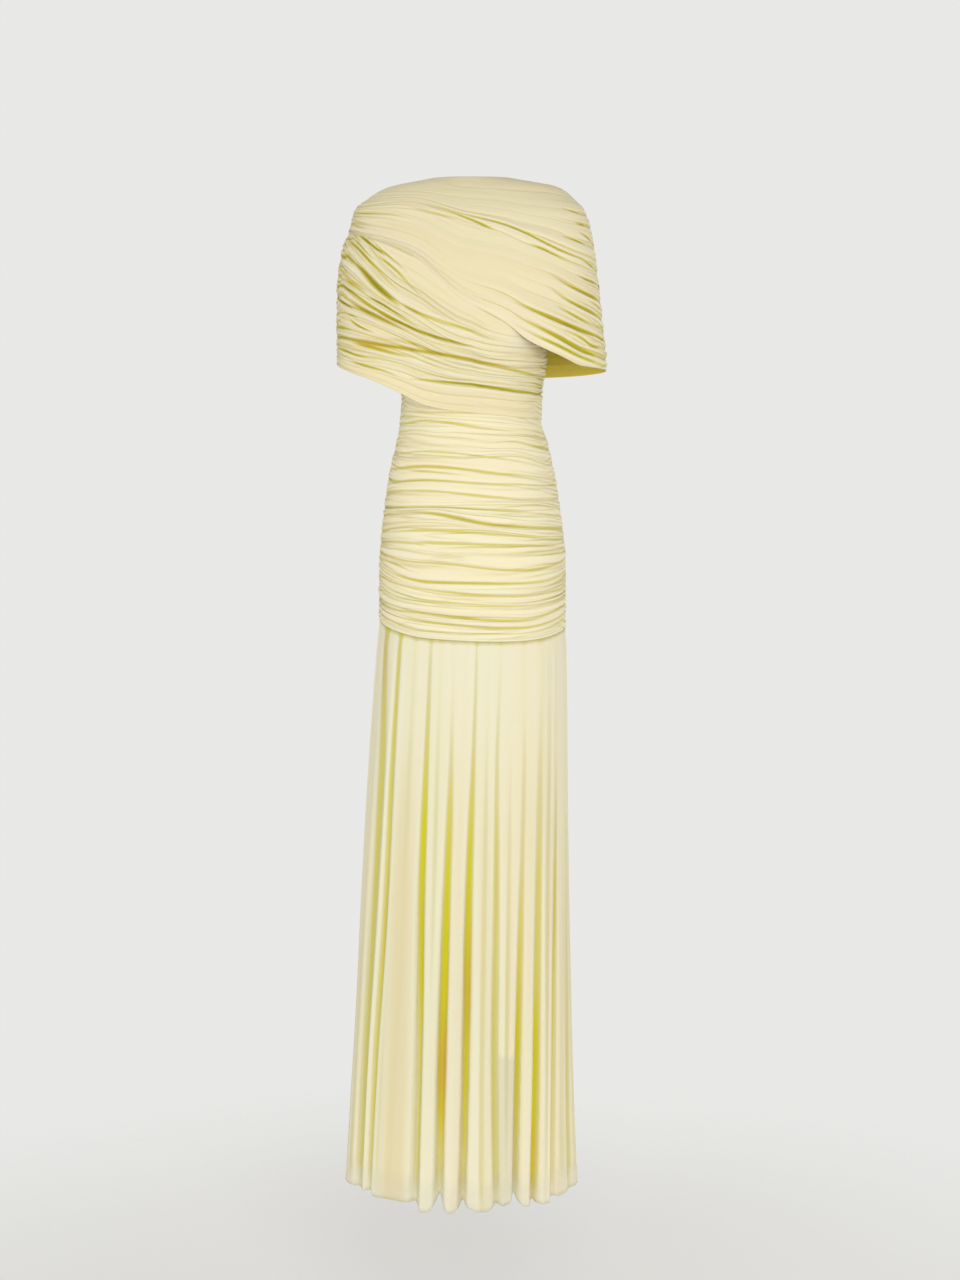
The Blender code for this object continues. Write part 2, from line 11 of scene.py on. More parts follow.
import bmesh
import bpy
import numpy as np
from bpy.props import FloatProperty, FloatVectorProperty, PointerProperty
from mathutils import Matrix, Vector


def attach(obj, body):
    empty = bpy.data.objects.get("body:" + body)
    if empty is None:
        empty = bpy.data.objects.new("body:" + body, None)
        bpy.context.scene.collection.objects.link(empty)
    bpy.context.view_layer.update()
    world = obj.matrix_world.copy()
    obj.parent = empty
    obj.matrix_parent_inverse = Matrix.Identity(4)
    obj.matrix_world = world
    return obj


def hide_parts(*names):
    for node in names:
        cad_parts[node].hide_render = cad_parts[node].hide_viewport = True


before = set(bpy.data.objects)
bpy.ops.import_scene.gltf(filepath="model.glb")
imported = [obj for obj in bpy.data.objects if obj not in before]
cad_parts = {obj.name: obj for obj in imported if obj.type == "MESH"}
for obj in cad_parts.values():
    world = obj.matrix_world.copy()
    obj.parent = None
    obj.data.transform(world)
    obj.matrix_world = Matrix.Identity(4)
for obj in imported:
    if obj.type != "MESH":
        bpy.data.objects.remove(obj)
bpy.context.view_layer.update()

bl_info = {
    "name": "Draped wrap gown",
    "version": (1, 0, 0),
    "blender": (4, 5, 0),
    "location": "3D View > Sidebar > Gown",
    "description": "Lays the cloth of a draped wrap gown on its frame and sets up a plain studio",
    "category": "Add Mesh",
}

BODY = "root"
FRONT = -1
BACK = 1
SLOPE_STEP = 0.0002        # step for reading the form's slopes
CLOTH_ENDING = "_cloth"    # tells a finished piece from the frame's node
HALF_SEAM = 0.0001         # half of the gap where a front meets a back
HEM_DROP = 1.500
BODY_BASE = 0.0015         # how far each layer's outer face lies outside the worn form
ON_BODY = BODY_BASE + 0.0010
LOWER_BASE = 0.0034
SINGLE_BASE = LOWER_BASE - 0.0008
UPPER_BASE = 0.0059
LINING_BASE = -0.0034
LINING_TOP = -0.0004
TUCKED_UNDER = 0.020       # how far the lower wrap reaches up under the upper wrap
WRAP_EASE = 0.005          # height over which folds rise from under the upper wrap's edge

# The worn form, in millimetres: at each drop, half-widths to both sides of the drape and of the body,
# and depths to the front and back
SECTIONS = dict(zip(
    ("drop", "drape_left", "drape_right", "body_left", "body_right", "front", "back"),
    np.array((
        (3, 68, 68, 60, 60, 54, 58),
        (15, 126, 130, 80, 80, 67, 74),
        (30, 153, 150, 100, 100, 79, 89),
        (45, 170, 163, 110, 110, 88, 99),
        (75, 178, 174, 118, 118, 100, 109),
        (105, 189, 179, 122, 122, 110, 113),
        (135, 195, 183, 124, 124, 118, 114),
        (165, 197, 186, 124, 124, 122.5, 112),
        (210, 198, 190, 121, 119, 123.5, 106),
        (255, 198, 195, 114, 111, 115, 97),
        (285, 199, 198, 108, 107, 105, 90),
        (330, 199, 199, 104, 101, 93, 82),
        (365, 199, 199, 106, 102, 87.5, 79),
        (390, 199, 199, 110, 110, 88, 83),
        (420, 199, 199, 117, 117, 91, 92),
        (450, 199, 199, 123, 123, 96, 103),
        (510, 199, 199, 131, 132, 103, 121),
        (570, 199, 199, 136, 138, 106, 130),
        (660, 199, 199, 137, 138, 105, 129),
        (700, 199, 199, 141, 140, 107, 127),
        (780, 199, 199, 147, 141, 111, 128),
        (930, 199, 199, 157, 142, 121, 135),
        (1080, 199, 199, 165, 144, 131, 143),
        (1230, 199, 199, 172, 147, 140, 151),
        (1380, 199, 199, 181, 151, 148, 160),
        (1500, 199, 199, 188, 156, 154, 167),
    )).T / 1000,
))


# Edges: places across in thousandths, with their drops in tenths of a millimetre
def edge(*rows):
    """An edge from its rows."""
    places, drops = np.array(rows).T
    return places / 1000, drops / 10000


NECK_EDGE = edge((0, 30), (1000, 30))
UPPER_WRAP_EDGE = edge(
    (0, 800),
    (110, 862),
    (230, 975),
    (330, 1150),
    (380, 1310),
    (420, 1540),
    (480, 1870),
    (580, 2200),
    (640, 2460),
    (720, 2655),
    (800, 2810),
    (1000, 2870),
)
LOWER_WRAP_TOP = edge(
    (0, 660),
    (110, 665),
    (230, 775),
    (330, 950),
    (380, 1110),
    (420, 1340),
    (480, 1650),
    (580, 1900),
    (700, 2030),
    (1000, 2150),
)
LOWER_WRAP_EDGE = edge(
    (0, 2745),
    (160, 2914),
    (240, 3023),
    (330, 3225),
    (390, 3390),
    (450, 3468),
    (520, 3511),
    (670, 3553),
    (1000, 3610),
)
BACK_DRAPE_EDGE = edge(
    (0, 2745),
    (350, 2910),
    (650, 2940),
    (1000, 2870),
)
FRONT_HEM = edge(
    (0, 14960),
    (60, 14925),
    (100, 14897),
    (146, 14868),
    (170, 14890),
    (198, 14845),
    (230, 14890),
    (280, 14872),
    (330, 14868),
    (349, 14850),
    (357, 14905),
    (366, 14955),
    (378, 14976),
    (390, 14960),
    (401, 14905),
    (409, 14820),
    (418, 14700),
    (426, 14830),
    (434, 14915),
    (444, 14957),
    (454, 14950),
    (464, 14910),
    (471, 14845),
    (477, 14785),
    (486, 14855),
    (500, 14905),
    (520, 14938),
    (542, 14932),
    (560, 14895),
    (574, 14835),
    (590, 14868),
    (606, 14860),
    (622, 14800),
    (634, 14715),
    (645, 14850),
    (660, 14918),
    (678, 14930),
    (692, 14900),
    (700, 14850),
    (710, 14915),
    (728, 14952),
    (750, 14955),
    (766, 14925),
    (776, 14890),
    (800, 14922),
    (840, 14925),
    (872, 14915),
    (940, 14962),
    (1000, 14980),
)
LINING_HEM = edge(
    (0, 13300),
    (200, 13450),
    (430, 13650),
    (570, 12760),
    (800, 12900),
    (1000, 13300),
)

# Gathered creases, in ten-thousandths: where each runs at LINE_PLACES across, as a drop on the body and a
# share of the panel's height on the drape, then how far the cloth beside it stands out at DEPTH_PLACES
LINE_PLACES = np.array((0.0, 0.15, 0.35, 0.65, 1.0))
DEPTH_PLACES = np.array((0.0, 0.30, 0.65, 1.0))
Gather = namedtuple("Gather", "left near inner far right left_depth inner_depth far_depth right_depth")


def gathers(*rows):
    """Gathered creases from their rows."""
    return tuple(Gather(*row) for row in np.array(rows) / 10000)


UPPER_WRAP_GATHERS = gathers(
    (0, 0, 0, 0, 0, 0, 0, 0, 0),
    (1400, 1300, 1100, 900, 900, 3, 0, 5, 15),
    (2700, 2400, 2100, 1700, 1900, 4, 3, 8, 30),
    (3600, 3200, 2700, 2400, 2600, 5, 3, 5, 25),
    (4300, 3800, 3000, 3000, 3450, 5, 5, 5, 30),
    (4800, 4200, 3350, 3600, 4400, 6, 15, 28, 30),
    (5300, 4700, 3750, 4250, 5100, 8, 30, 25, 15),
    (6000, 5950, 5600, 5000, 5600, 20, 10, 0, 25),
    (7000, 6900, 6600, 5550, 6400, 12, 3, 10, 40),
    (8000, 7900, 7500, 6300, 7350, 12, 0, 12, 50),
    (8800, 8700, 8300, 7200, 8100, 10, 2, 8, 30),
    (9400, 9300, 9000, 8100, 8850, 10, 8, 50, 55),
    (9700, 9650, 9500, 8950, 9500, 10, 12, 40, 45),
    (10000, 10000, 10000, 10000, 10000, 0, 0, 0, 0),
)
LOWER_WRAP_GATHERS = gathers(
    (0, 0, 0, 0, 0, 0, 0, 0, 0),
    (300, 700, 2800, 2450, 1000, 0, 20, 10, 5),
    (800, 1500, 3300, 2930, 1800, 15, 30, 10, 10),
    (1700, 2600, 4300, 3570, 2700, 30, 60, 25, 10),
    (2800, 3600, 4800, 4140, 3400, 20, 30, 10, 10),
    (3800, 4550, 5300, 4740, 4100, 35, 50, 25, 15),
    (4800, 5650, 5900, 5340, 4700, 35, 35, 15, 15),
    (6000, 6300, 6400, 5900, 5300, 20, 20, 10, 20),
    (7200, 7100, 6900, 6300, 5750, 35, 25, 10, 20),
    (7900, 7800, 7300, 6620, 6200, 25, 35, 15, 25),
    (8700, 8700, 7900, 7000, 6700, 25, 20, 10, 25),
    (9300, 9200, 8500, 7500, 7300, 20, 30, 40, 40),
    (9600, 9550, 9100, 8540, 8200, 8, 10, 10, 30),
    (9850, 9850, 9650, 9340, 9100, 5, 8, 5, 25),
    (10000, 10000, 10000, 10000, 10000, 0, 0, 0, 0),
)
BACK_DRAPE_GATHERS = gathers(
    (0, 0, 0, 0, 0, 0, 0, 0, 0),
    (1600, 1400, 1200, 1200, 1400, 10, 3, 3, 10),
    (3100, 3000, 2500, 2400, 2700, 25, 8, 10, 25),
    (4200, 4300, 4000, 3700, 3800, 40, 15, 20, 35),
    (5200, 5500, 5400, 5000, 4900, 45, 25, 15, 45),
    (6200, 6600, 6700, 6300, 6000, 45, 20, 25, 45),
    (7200, 7600, 7800, 7500, 7100, 40, 30, 25, 45),
    (8200, 8500, 8700, 8500, 8200, 35, 20, 30, 40),
    (9100, 9300, 9400, 9300, 9200, 25, 15, 15, 30),
    (10000, 10000, 10000, 10000, 10000, 0, 0, 0, 0),
)
BODY_FRONT_GATHERS = gathers(
    (1500, 1500, 1500, 1500, 1500, 0, 0, 0, 0),
    (2500, 2500, 2500, 2500, 2500, 0, 0, 0, 0),
    (3300, 3420, 3520, 3595, 3665, 0, 0, 0, 0),
    (3500, 3540, 3575, 3660, 3745, 25, 20, 20, 25),
    (3700, 3655, 3636, 3730, 3826, 20, 15, 15, 20),
    (3826, 3840, 3846, 3919, 4035, 25, 25, 20, 25),
    (4072, 4100, 4115, 4181, 4274, 25, 20, 25, 25),
    (4289, 4310, 4326, 4399, 4482, 25, 25, 20, 25),
    (4509, 4495, 4486, 4552, 4631, 30, 25, 30, 30),
    (4721, 4680, 4646, 4742, 4795, 25, 20, 25, 25),
    (4900, 4890, 4879, 4850, 4915, 25, 25, 25, 25),
    (5034, 5010, 4995, 5141, 5265, 25, 30, 40, 25),
    (5254, 5210, 5184, 5286, 5375, 30, 30, 30, 25),
    (5429, 5420, 5417, 5460, 5429, 25, 30, 25, 20),
    (5511, 5600, 5679, 5795, 5669, 25, 35, 40, 30),
    (5669, 5820, 5969, 6013, 5839, 30, 45, 40, 30),
    (5794, 5980, 6129, 6173, 6041, 30, 35, 35, 35),
    (5997, 6160, 6282, 6313, 6152, 30, 30, 35, 30),
    (6197, 6340, 6449, 6493, 6316, 35, 30, 30, 30),
    (6301, 6455, 6573, 6638, 6413, 25, 35, 40, 25),
    (6390, 6555, 6682, 6711, 6521, 25, 30, 35, 25),
    (6521, 6675, 6798, 6842, 6685, 25, 30, 30, 25),
)
BACK_TOP_GATHERS = gathers(
    (2690, 2680, 2660, 2670, 2700, 10, 10, 10, 10),
    (2890, 2900, 2900, 2880, 2870, 20, 15, 15, 20),
    (3090, 3120, 3150, 3190, 3260, 25, 20, 20, 25),
)
BACK_SAG_WAIST = 0.004
BACK_SAG_HIP = 0.024
BACK_SAG_FROM = 0.480
BACK_SAG_NEAR = 0.62
BACK_UNEVEN = 0.0016
BACK_WANDER_STEP = 2.3

# Single creases: where each starts and ends across, in thousandths; its drop at LENGTHS along it, how deep
# it cuts and its half-width, in tenths of a millimetre; where along it is strongest, how strongly it is
# tinted and how much of that is amber, in hundredths
LENGTHS = (0.0, 1 / 3, 2 / 3, 1.0)
TROUGH_UNITS = (1000, 1000, 10000, 10000, 10000, 10000, 10000, 10000, 100, 100, 100)
# The tint of a crease is painted shade, yellowed by light through the cloth, and its amber is painted light
# through several layers
Trough = namedtuple("Trough", "start end first second third last depth half_width peak tint amber")


def troughs(*rows):
    """Listed creases, from their rows."""
    return tuple(Trough(*row) for row in np.array(rows) / TROUGH_UNITS)


UPPER_WRAP_TROUGHS = troughs(
    (57, 354, 529, 567, 611, 716, 12, 17, 25, 55, 0),
    (68, 207, 638, 678, 718, 757, 10, 15, 15, 45, 0),
    (84, 205, 719, 760, 798, 832, 10, 15, 15, 50, 0),
    (347, 562, 441, 554, 714, 891, 18, 19, 84, 75, 0),
    (315, 470, 496, 577, 659, 742, 8, 20, 60, 25, 0),
    (423, 923, 573, 805, 1169, 1345, 20, 18, 50, 70, 0),
    (645, 793, 1061, 1151, 1257, 1340, 14, 19, 30, 60, 0),
    (749, 866, 920, 959, 998, 1035, 16, 17, 70, 70, 0),
    (773, 876, 491, 528, 555, 581, 12, 15, 80, 60, 0),
    (820, 885, 719, 728, 736, 744, 14, 17, 70, 85, 19),
    (829, 923, 837, 888, 931, 971, 14, 19, 70, 75, 11),
    (811, 909, 1231, 1285, 1333, 1380, 16, 19, 75, 65, 0),
    (794, 927, 1473, 1543, 1577, 1598, 20, 19, 65, 95, 0),
    (691, 933, 1467, 1661, 1780, 1849, 34, 27, 72, 105, 11),
    (683, 925, 1644, 1881, 2016, 2118, 30, 27, 65, 90, 8),
    (706, 875, 1931, 2057, 2165, 2233, 20, 26, 50, 45, 0),
    (830, 936, 1846, 1891, 1936, 1982, 12, 17, 80, 50, 0),
    (579, 903, 1860, 2113, 2294, 2419, 38, 27, 62, 120, 4),
    (723, 904, 2261, 2382, 2520, 2552, 20, 22, 70, 60, 0),
    (595, 905, 2075, 2350, 2596, 2700, 32, 32, 60, 85, 0),
    (566, 900, 2134, 2432, 2672, 2804, 16, 26, 70, 45, 0),
    (639, 804, 2357, 2469, 2578, 2685, 12, 26, 50, 30, 0),
    (403, 496, 1334, 1495, 1624, 1733, 8, 20, 50, 15, 0),
)
LOWER_WRAP_TROUGHS = troughs(
    (206, 405, 906, 1027, 1185, 1376, 12, 24, 45, 58, 0),
    (60, 186, 782, 854, 930, 1026, 18, 13, 30, 120, 0),
    (120, 272, 800, 922, 1050, 1227, 28, 16, 25, 160, 0),
    (250, 428, 1205, 1430, 1760, 2061, 12, 18, 20, 38, 0),
    (164, 215, 840, 878, 918, 965, 14, 11, 30, 100, 0),
    (215, 285, 1015, 1099, 1168, 1262, 18, 14, 50, 100, 0),
    (232, 352, 1040, 1175, 1330, 1520, 12, 16, 30, 30, 0),
    (66, 339, 916, 1073, 1384, 1821, 22, 16, 30, 72, 12),
    (127, 252, 936, 1029, 1162, 1306, 16, 12, 35, 62, 0),
    (120, 335, 1195, 1385, 1690, 2000, 48, 46, 66, 145, 0),
    (0, 126, 915, 970, 1026, 1122, 16, 13, 40, 100, 0),
    (0, 125, 1005, 1052, 1099, 1181, 14, 12, 40, 90, 0),
    (0, 134, 1110, 1159, 1208, 1288, 14, 12, 40, 70, 0),
    (0, 142, 1230, 1271, 1349, 1499, 18, 14, 35, 100, 25),
    (100, 235, 1450, 1566, 1663, 1815, 20, 34, 40, 45, 32),
    (84, 271, 1604, 1696, 1845, 2013, 18, 13, 40, 70, 15),
    (223, 377, 1799, 1925, 2094, 2272, 22, 16, 30, 95, 25),
    (48, 174, 1790, 1848, 1908, 1982, 22, 15, 40, 110, 0),
    (109, 370, 1753, 1961, 2166, 2372, 28, 34, 45, 75, 34),
    (257, 365, 2017, 2121, 2203, 2271, 16, 14, 40, 70, 20),
    (126, 190, 2020, 2053, 2080, 2113, 14, 12, 50, 80, 0),
    (144, 257, 2099, 2205, 2280, 2344, 20, 15, 40, 95, 0),
    (0, 175, 2181, 2218, 2255, 2298, 18, 14, 30, 85, 0),
    (828, 930, 2798, 2810, 2827, 2850, 12, 18, 60, 45, 0),
    (814, 960, 2975, 2993, 3003, 3011, 16, 12, 65, 80, 0),
    (780, 970, 3037, 3066, 3084, 3098, 18, 12, 60, 85, 0),
    (830, 1000, 3106, 3123, 3129, 3135, 14, 11, 60, 70, 0),
    (323, 496, 1920, 2083, 2229, 2363, 18, 24, 20, 50, 9),
    (113, 533, 1624, 1991, 2361, 2605, 32, 22, 55, 95, 8),
    (94, 822, 2374, 2568, 2797, 2960, 24, 29, 22, 75, 26),
    (155, 380, 2459, 2528, 2622, 2716, 26, 26, 35, 80, 45),
    (38, 271, 2512, 2574, 2663, 2722, 18, 19, 40, 75, 11),
    (137, 339, 2705, 2797, 2875, 3001, 22, 22, 40, 70, 0),
    (328, 960, 2986, 3108, 3194, 3213, 36, 22, 35, 110, 8),
    (289, 496, 2406, 2498, 2646, 2762, 16, 26, 50, 35, 0),
    (380, 496, 2329, 2413, 2483, 2549, 16, 22, 60, 35, 0),
    (380, 613, 2057, 2237, 2381, 2473, 16, 22, 40, 30, 0),
    (534, 936, 2776, 2871, 2936, 2977, 18, 22, 60, 40, 0),
    (446, 719, 2690, 2777, 2815, 2853, 16, 24, 30, 40, 0),
    (759, 1000, 3184, 3219, 3216, 3210, 20, 17, 60, 65, 0),
)
BODY_FRONT_TROUGHS = troughs(
    (100, 960, 3487, 3501, 3533, 3812, 10, 17, 40, 16, 0),
    (20, 820, 3699, 3623, 3733, 3829, 14, 19, 25, 26, 21),
    (15, 900, 4140, 4074, 4174, 4361, 12, 19, 40, 19, 0),
    (0, 920, 4380, 4292, 4405, 4584, 18, 22, 36, 31, 21),
    (130, 500, 4331, 4354, 4385, 4428, 12, 17, 50, 21, 15),
    (0, 900, 4601, 4492, 4559, 4717, 12, 19, 30, 19, 0),
    (0, 890, 4710, 4640, 4749, 4836, 10, 17, 50, 13, 0),
    (0, 880, 4930, 4876, 4924, 5027, 10, 17, 55, 16, 12),
    (0, 880, 5040, 4959, 5143, 5219, 20, 27, 60, 39, 6),
    (20, 500, 5256, 5196, 5153, 5167, 8, 17, 50, 13, 0),
    (0, 1000, 5310, 5227, 5310, 5430, 14, 20, 45, 21, 0),
    (30, 960, 5469, 5403, 5436, 5509, 14, 26, 60, 21, 0),
    (60, 970, 5592, 5671, 5802, 5661, 13, 20, 70, 24, 10),
    (600, 950, 5604, 5591, 5579, 5559, 12, 17, 60, 26, 0),
    (60, 960, 5695, 5973, 5990, 5824, 22, 24, 35, 39, 0),
    (100, 350, 5681, 5717, 5801, 5886, 10, 17, 40, 24, 0),
    (60, 940, 5925, 6088, 6174, 6072, 14, 20, 45, 26, 0),
    (60, 960, 5969, 6252, 6308, 6137, 12, 19, 40, 19, 0),
    (70, 960, 6260, 6442, 6540, 6331, 14, 20, 45, 24, 0),
    (80, 960, 6337, 6559, 6650, 6435, 12, 19, 50, 24, 0),
)
BACK_DRAPE_TROUGHS = troughs(
    (20, 620, 900, 1020, 1000, 1060, 18, 28, 35, 45, 0),
    (420, 980, 1320, 1450, 1420, 1260, 20, 28, 60, 50, 0),
    (30, 500, 1560, 1790, 1880, 1900, 24, 32, 40, 60, 0),
    (300, 970, 2040, 2120, 2010, 1830, 26, 34, 62, 75, 10),
    (20, 760, 2200, 2420, 2470, 2360, 24, 30, 36, 65, 10),
    (150, 560, 500, 560, 590, 640, 10, 22, 50, 25, 0),
)
BODY_BACK_TROUGHS = troughs(
    (20, 700, 4200, 4230, 4290, 4350, 14, 20, 40, 24, 0),
    (300, 980, 4780, 4840, 4860, 4820, 14, 20, 60, 24, 12),
    (30, 640, 5200, 5330, 5420, 5430, 18, 24, 40, 31, 0),
    (400, 970, 5720, 5800, 5780, 5640, 18, 24, 60, 31, 0),
    (40, 800, 5900, 6180, 6260, 6180, 18, 22, 40, 31, 0),
)

# Skirt folds: a groove's place across at PLACE_DROPS, in thousandths; the drop where it starts and its
# depth at the hem, in millimetres; its half-width, in tenths of a millimetre; how strongly it is tinted with
# painted shade, in hundredths, and how wide it looks, in tenths, at TINT_DROPS; the drop and strength of its
# amber stretch, painted light through the layers, in hundredths
PLACE_DROPS = (0.70, 0.87, 1.08, 1.29, 1.48)
TINT_DROPS = (0.70, 0.85, 1.00, 1.15, 1.30, 1.42)
Groove = namedtuple("Groove", "places start depth half_width tints widths amber_at amber")


def grooves(*rows):
    """Skirt folds from their rows."""
    return tuple(
        Groove(
            np.array(places) / 1000, start / 1000, depth / 1000, half_width / 10000,
            np.array(tints) / 100, np.array(widths) / 10, amber_at / 100, amber / 100,
        )
        for places, start, depth, half_width, tints, widths, amber_at, amber in rows
    )


FRONT_GROOVES = grooves(
    ((146, 166, 154, 140, 146), 600, 14, 90, (72, 66, 50, 40, 36, 28), (9, 9, 8, 7, 7, 7), 73, 30),
    ((234, 226, 218, 200, 198), 600, 14, 45, (66, 60, 48, 48, 38, 32), (10, 10, 9, 8, 8, 7), 108, 30),
    ((362, 358, 352, 354, 354), 720, 26, 40, (30, 55, 100, 95, 42, 32), (9, 10, 11, 8, 5, 5), 110, 35),
    ((440, 438, 428, 420, 418), 740, 28, 46, (14, 32, 75, 95, 105, 36), (7, 8, 9, 11, 12, 6), 129, 100),
    ((516, 504, 490, 484, 476), 740, 28, 38, (28, 45, 84, 100, 88, 42), (7, 8, 9, 10, 7, 5), 119, 60),
    ((598, 582, 578, 572, 574), 780, 16, 38, (14, 26, 30, 30, 40, 22), (9, 9, 8, 6, 6, 9), 104, 25),
    ((684, 678, 664, 650, 634), 860, 22, 38, (9, 18, 24, 50, 92, 55), (12, 12, 10, 9, 10, 8), 115, 10),
    ((754, 744, 734, 722, 700), 820, 22, 50, (10, 24, 36, 42, 92, 75), (10, 10, 10, 9, 10, 9), 143, 35),
    ((848, 838, 820, 800, 774), 800, 13, 42, (6, 14, 34, 46, 46, 20), (10, 9, 8, 7, 6, 6), 108, 25),
    ((930, 922, 910, 892, 872), 950, 6, 60, (3, 4, 8, 12, 14, 10), (10, 10, 10, 10, 10, 10), 110, 0),
    ((304, 300, 292, 280, 270), 680, 1, 42, (13, 12, 6, 0, 0, 0), (12, 12, 10, 10, 10, 10), 110, 0),
    ((398, 395, 391, 388, 386), 700, 1, 36, (12, 13, 8, 4, 3, 2), (10, 10, 10, 10, 10, 10), 110, 0),
    ((556, 548, 540, 532, 528), 740, 2, 34, (7, 15, 18, 16, 12, 8), (10, 10, 10, 10, 10, 10), 110, 0),
    ((640, 630, 620, 610, 604), 760, 2, 32, (6, 14, 16, 12, 6, 3), (10, 10, 10, 10, 10, 10), 110, 0),
    ((806, 794, 776, 760, 742), 800, 2, 34, (7, 14, 16, 16, 12, 6), (10, 10, 10, 10, 10, 10), 110, 0),
)
BACK_GROOVES = grooves(
    ((94, 90, 85, 82, 80), 900, 10, 60, (8, 16, 26, 34, 30, 20), (10, 10, 10, 10, 9, 8), 110, 0),
    ((205, 198, 190, 184, 180), 740, 20, 48, (20, 42, 50, 58, 52, 34), (10, 11, 10, 10, 9, 8), 90, 20),
    ((290, 284, 275, 267, 262), 720, 26, 44, (14, 44, 90, 92, 56, 34), (10, 10, 11, 9, 6, 5), 112, 15),
    ((362, 358, 352, 348, 345), 760, 22, 40, (6, 18, 48, 74, 78, 44), (9, 9, 9, 10, 10, 7), 130, 45),
    ((462, 458, 455, 452, 450), 700, 28, 46, (16, 50, 95, 100, 70, 36), (10, 10, 11, 10, 8, 6), 118, 25),
    ((524, 527, 530, 531, 532), 740, 26, 40, (8, 22, 56, 88, 100, 50), (9, 9, 9, 10, 11, 7), 131, 60),
    ((620, 626, 632, 636, 638), 720, 28, 44, (12, 36, 84, 96, 82, 40), (9, 10, 10, 10, 8, 6), 108, 10),
    ((705, 710, 715, 719, 722), 800, 18, 40, (5, 12, 26, 44, 58, 40), (9, 9, 8, 8, 9, 8), 120, 0),
    ((780, 785, 790, 796, 800), 760, 22, 46, (10, 26, 50, 76, 80, 56), (10, 10, 10, 9, 9, 8), 140, 25),
    ((880, 885, 890, 896, 900), 860, 14, 58, (6, 12, 24, 34, 36, 24), (10, 10, 9, 9, 8, 8), 110, 0),
)

# Patches of painted shade, with amber painted light through several layers, and painted light where the tint
# is below 0: middle and half-width across, the drops between which they lie, and how strong their tint and
# their amber are
UPPER_WRAP_SHADES = ((1.0, 0.09, 0.190, 0.275, 0.22, 0.0),)
LOWER_WRAP_SHADES = (
    (0.0, 0.07, 0.125, 0.190, 0.42, 0.0),
    (0.74, 0.10, 0.212, 0.264, -0.30, 0.0),
    (0.06, 0.08, 0.190, 0.280, 0.22, 0.0),
    (0.15, 0.05, 0.140, 0.178, 0.12, 0.10),
    (0.18, 0.05, 0.126, 0.162, -0.22, 0.0),
    (0.23, 0.09, 0.236, 0.262, 0.14, 0.16),
)
BACK_DRAPE_SHADES = ((0.0, 0.06, 0.125, 0.190, 0.32, 0.0),)
BODY_SHADES = ((0.0, 0.12, 0.380, 0.620, 0.20, 0.0),)

# Each piece: the frame's node and its slot, its side, and the form's columns at its seams
Piece = namedtuple("Piece", "node slot side left right")
PIECES = {
    "upper_wrap": Piece("upper_drape_front", "drape", FRONT, "drape_left", "drape_right"),
    "lower_wrap": Piece("lower_drape_front", "drape", FRONT, "drape_left", "body_right"),
    "back_drape": Piece("drape_back", "drape", BACK, "drape_left", "drape_right"),
    "body_front": Piece("body_front", "body", FRONT, "body_left", "body_right"),
    "body_back": Piece("body_back", "body", BACK, "body_left", "body_right"),
    "skirt_front": Piece("skirt_front", "skirt", FRONT, "body_left", "body_right"),
    "skirt_back": Piece("skirt_back", "skirt", BACK, "body_left", "body_right"),
    "lining_front": Piece("lining_front", "lining", FRONT, "body_left", "body_right"),
    "lining_back": Piece("lining_back", "lining", BACK, "body_left", "body_right"),
}

# The cut of each piece: what shows of it, laid flat
Cut = namedtuple("Cut", "width length held rests_on")

# A gathered panel: its grid, how many of its first folds lie hidden, how far splits reach in, its own
# unevenness, and its top and bottom edges where its creases are given as shares of the height
Panel = namedtuple("Panel", "columns rows hidden reach seed top bottom")
PANELS = {
    "upper_wrap": Panel(190, 220, 0, 0.34, 11, NECK_EDGE, UPPER_WRAP_EDGE),
    "lower_wrap": Panel(190, 215, 0, 0.34, 23, LOWER_WRAP_TOP, LOWER_WRAP_EDGE),
    "back_drape": Panel(140, 195, 0, 0.36, 37, NECK_EDGE, BACK_DRAPE_EDGE),
    "body_front": Panel(160, 300, 1, 0.50, 41, None, None),
    "body_back": Panel(120, 210, 2, 0.50, 53, None, None),
}

# Its details: how much is kept of the relief and the painted shadows made so far; the number, length, depth
# and painted-shade tint of its fine creases; the strength and reach of the tucks at both seams; how its
# hollows are found and tinted with painted shade; and how far below its base the cloth may dip
Detail = namedtuple(
    "Detail",
    "relief shadow creases longest depth tint left_tucks left_reach right_tucks right_reach"
    " blur hollow hollow_tint lowest",
)
DETAILS = {
    "upper_wrap": Detail(1.0, 1.0, 44, 0.42, 0.0008, 0.30, 0.6, 0.12, 1.1, 0.12, 7, 0.0007, 0.42, -0.0014),
    "lower_wrap": Detail(1.0, 1.0, 60, 0.50, 0.0009, 0.32, 1.2, 0.13, 1.4, 0.20, 7, 0.0007, 0.42, -0.0010),
    "back_drape": Detail(1.0, 1.0, 70, 0.45, 0.0008, 0.30, 1.0, 0.12, 1.0, 0.12, 7, 0.0008, 0.42, -0.0012),
    "body_front": Detail(0.85, 0.8, 170, 0.80, 0.0006, 0.20, 0.9, 0.17, 0.9, 0.17, 6, 0.0006, 0.28, -0.0012),
    "body_back": Detail(0.85, 0.8, 170, 0.80, 0.0006, 0.20, 0.9, 0.17, 0.9, 0.17, 6, 0.0006, 0.28, -0.0012),
}

# A hanging piece's columns and rows
GRIDS = {
    "skirt_front": (280, 105),
    "skirt_back": (210, 88),
    "lining_front": (96, 40),
    "lining_back": (96, 40),
}


def length_setting(name, description, default):
    """A length in the panel."""
    return FloatProperty(name=name, description=description, default=default, unit="LENGTH")


def colour_setting(name, description, default):
    """A colour in the panel."""
    return FloatVectorProperty(name=name, description=description, default=default, subtype="COLOR")


